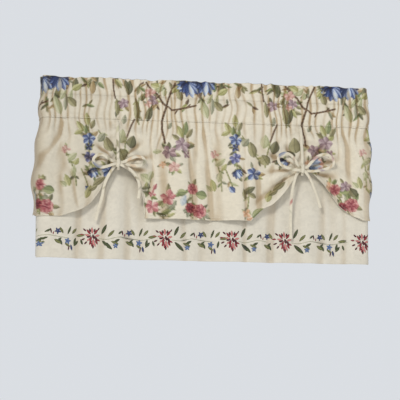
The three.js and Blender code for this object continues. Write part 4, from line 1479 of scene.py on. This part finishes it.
heading_seams = Needlework(on_heading)
for level in (STITCH_Z, SEAM_Z + 2):
    stitch_row(heading_seams, level, STITCH_PITCH)
face_hem = Needlework(on_face)
stitch_row(face_hem, FACE_HEM, STITCH_PITCH)
under_hem = Needlework(on_under)
stitch_row(under_hem, UNDER_HEM - DROP, HEM_PITCH)
heading_stitches = heading_seams.sew("heading_stitches")
face_stitches = face_hem.sew("face_hem_stitches")
under_stitches = under_hem.sew("under_hem_stitches")
print("stitches", [len(p.data.polygons) for p in (heading_stitches, face_stitches, under_stitches)])

# %% [markdown]
# ## Dressing the part
# Each cloth takes the place of its solid, rides with it and takes its finish.

# %% Dress the part
pieces = {"heading": heading, "face_panel": face, "under_panel": under, **ties}
for node, piece in pieces.items():
    plain = node == "under_panel"
    piece.data.materials.append(plain_finish if plain else printed_finish)
    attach(piece, "root")
    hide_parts(node)

threads = {heading_stitches: "printed_cloth", face_stitches: "printed_cloth", under_stitches: "plain_cloth",
           border_threads: "plain_cloth"}
for piece, slot in threads.items():
    piece.data.materials.append(thread_finish)
    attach(piece, "root")

for name, wrap in wraps.items():
    wrap.data.materials.append(printed_finish)
    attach(wrap, "root")

for name, tie in ties.items():
    line, length = tie_lines[name]
    tuple(line[0])
    [tuple(p) for p in line[::4]]
print("dressed", sorted(pieces))

# %% [markdown]
# ## Floor and light
# A pale floor far below and a pale world give an even light, and the camera sees that world brighter than
# it shines. A large soft lamp from the upper left gives the folds their shade, a weaker one from the
# right keeps the shade light, and a third lights the back.

# %% Floor
bpy.ops.mesh.primitive_plane_add(size=30, location=(0, 0, -2.6))
floor = bpy.context.object
floor.name = "floor"
floor_finish = bpy.data.materials.new("floor")
floor_finish.use_nodes = True
set_inputs(floor_finish.node_tree.nodes["Principled BSDF"], Base_Color=(0.83, 0.82, 0.80, 1), Roughness=0.9,
           Emission_Color=(0.83, 0.84, 0.86, 1), Emission_Strength=0.4)
floor.data.materials.append(floor_finish)

# %% [markdown]
# The world has two backgrounds: one that shines and one that only the camera sees.

# %% World
bpy.context.scene.view_settings.view_transform = "Standard"
world = bpy.data.worlds.new("pale_world")
bpy.context.scene.world = world
world.use_nodes = True
nodes, links = world.node_tree.nodes, world.node_tree.links
shining = set_inputs(nodes["Background"], Color=(0.94, 0.95, 1.0, 1), Strength=0.4)
seen = set_inputs(nodes.new("ShaderNodeBackground"), Color=(0.80, 0.83, 0.87, 1), Strength=0.88)
ray = nodes.new("ShaderNodeLightPath")
choice = nodes.new("ShaderNodeMixShader")
links.new(ray.outputs["Is Camera Ray"], choice.inputs[0])
links.new(shining.outputs["Background"], choice.inputs[1])
links.new(seen.outputs["Background"], choice.inputs[2])
links.new(choice.outputs["Shader"], nodes["World Output"].inputs["Surface"])

# %% [markdown]
# Each lamp is a square, aimed at the middle of the part and not seen itself.

# %% Lamps
LAMPS = [  # name, place, size, watts, colour
    ("key", (-3.6, -6.8, 3.4), 1.8, 326, (1.0, 0.985, 0.96)),
    ("fill", (2.4, -2.6, 0.3), 2.2, 17, (0.95, 0.97, 1.0)),
    ("back", (0.9, 2.8, 1.5), 1.8, 60, (0.98, 0.99, 1.0)),
]
MIDDLE = Vector((0, 0, -0.22))   # of the part, where every lamp is aimed
for name, place, size, watts, colour in LAMPS:
    bpy.ops.object.light_add(type="AREA", location=place)
    lamp = bpy.context.object
    lamp.name = name
    lamp.data.size = size
    lamp.data.energy = watts
    lamp.data.color = colour
    lamp.rotation_euler = (MIDDLE - Vector(place)).to_track_quat("-Z", "Y").to_euler()
    lamp.visible_camera = False
print("lamps", [row[0] for row in LAMPS])
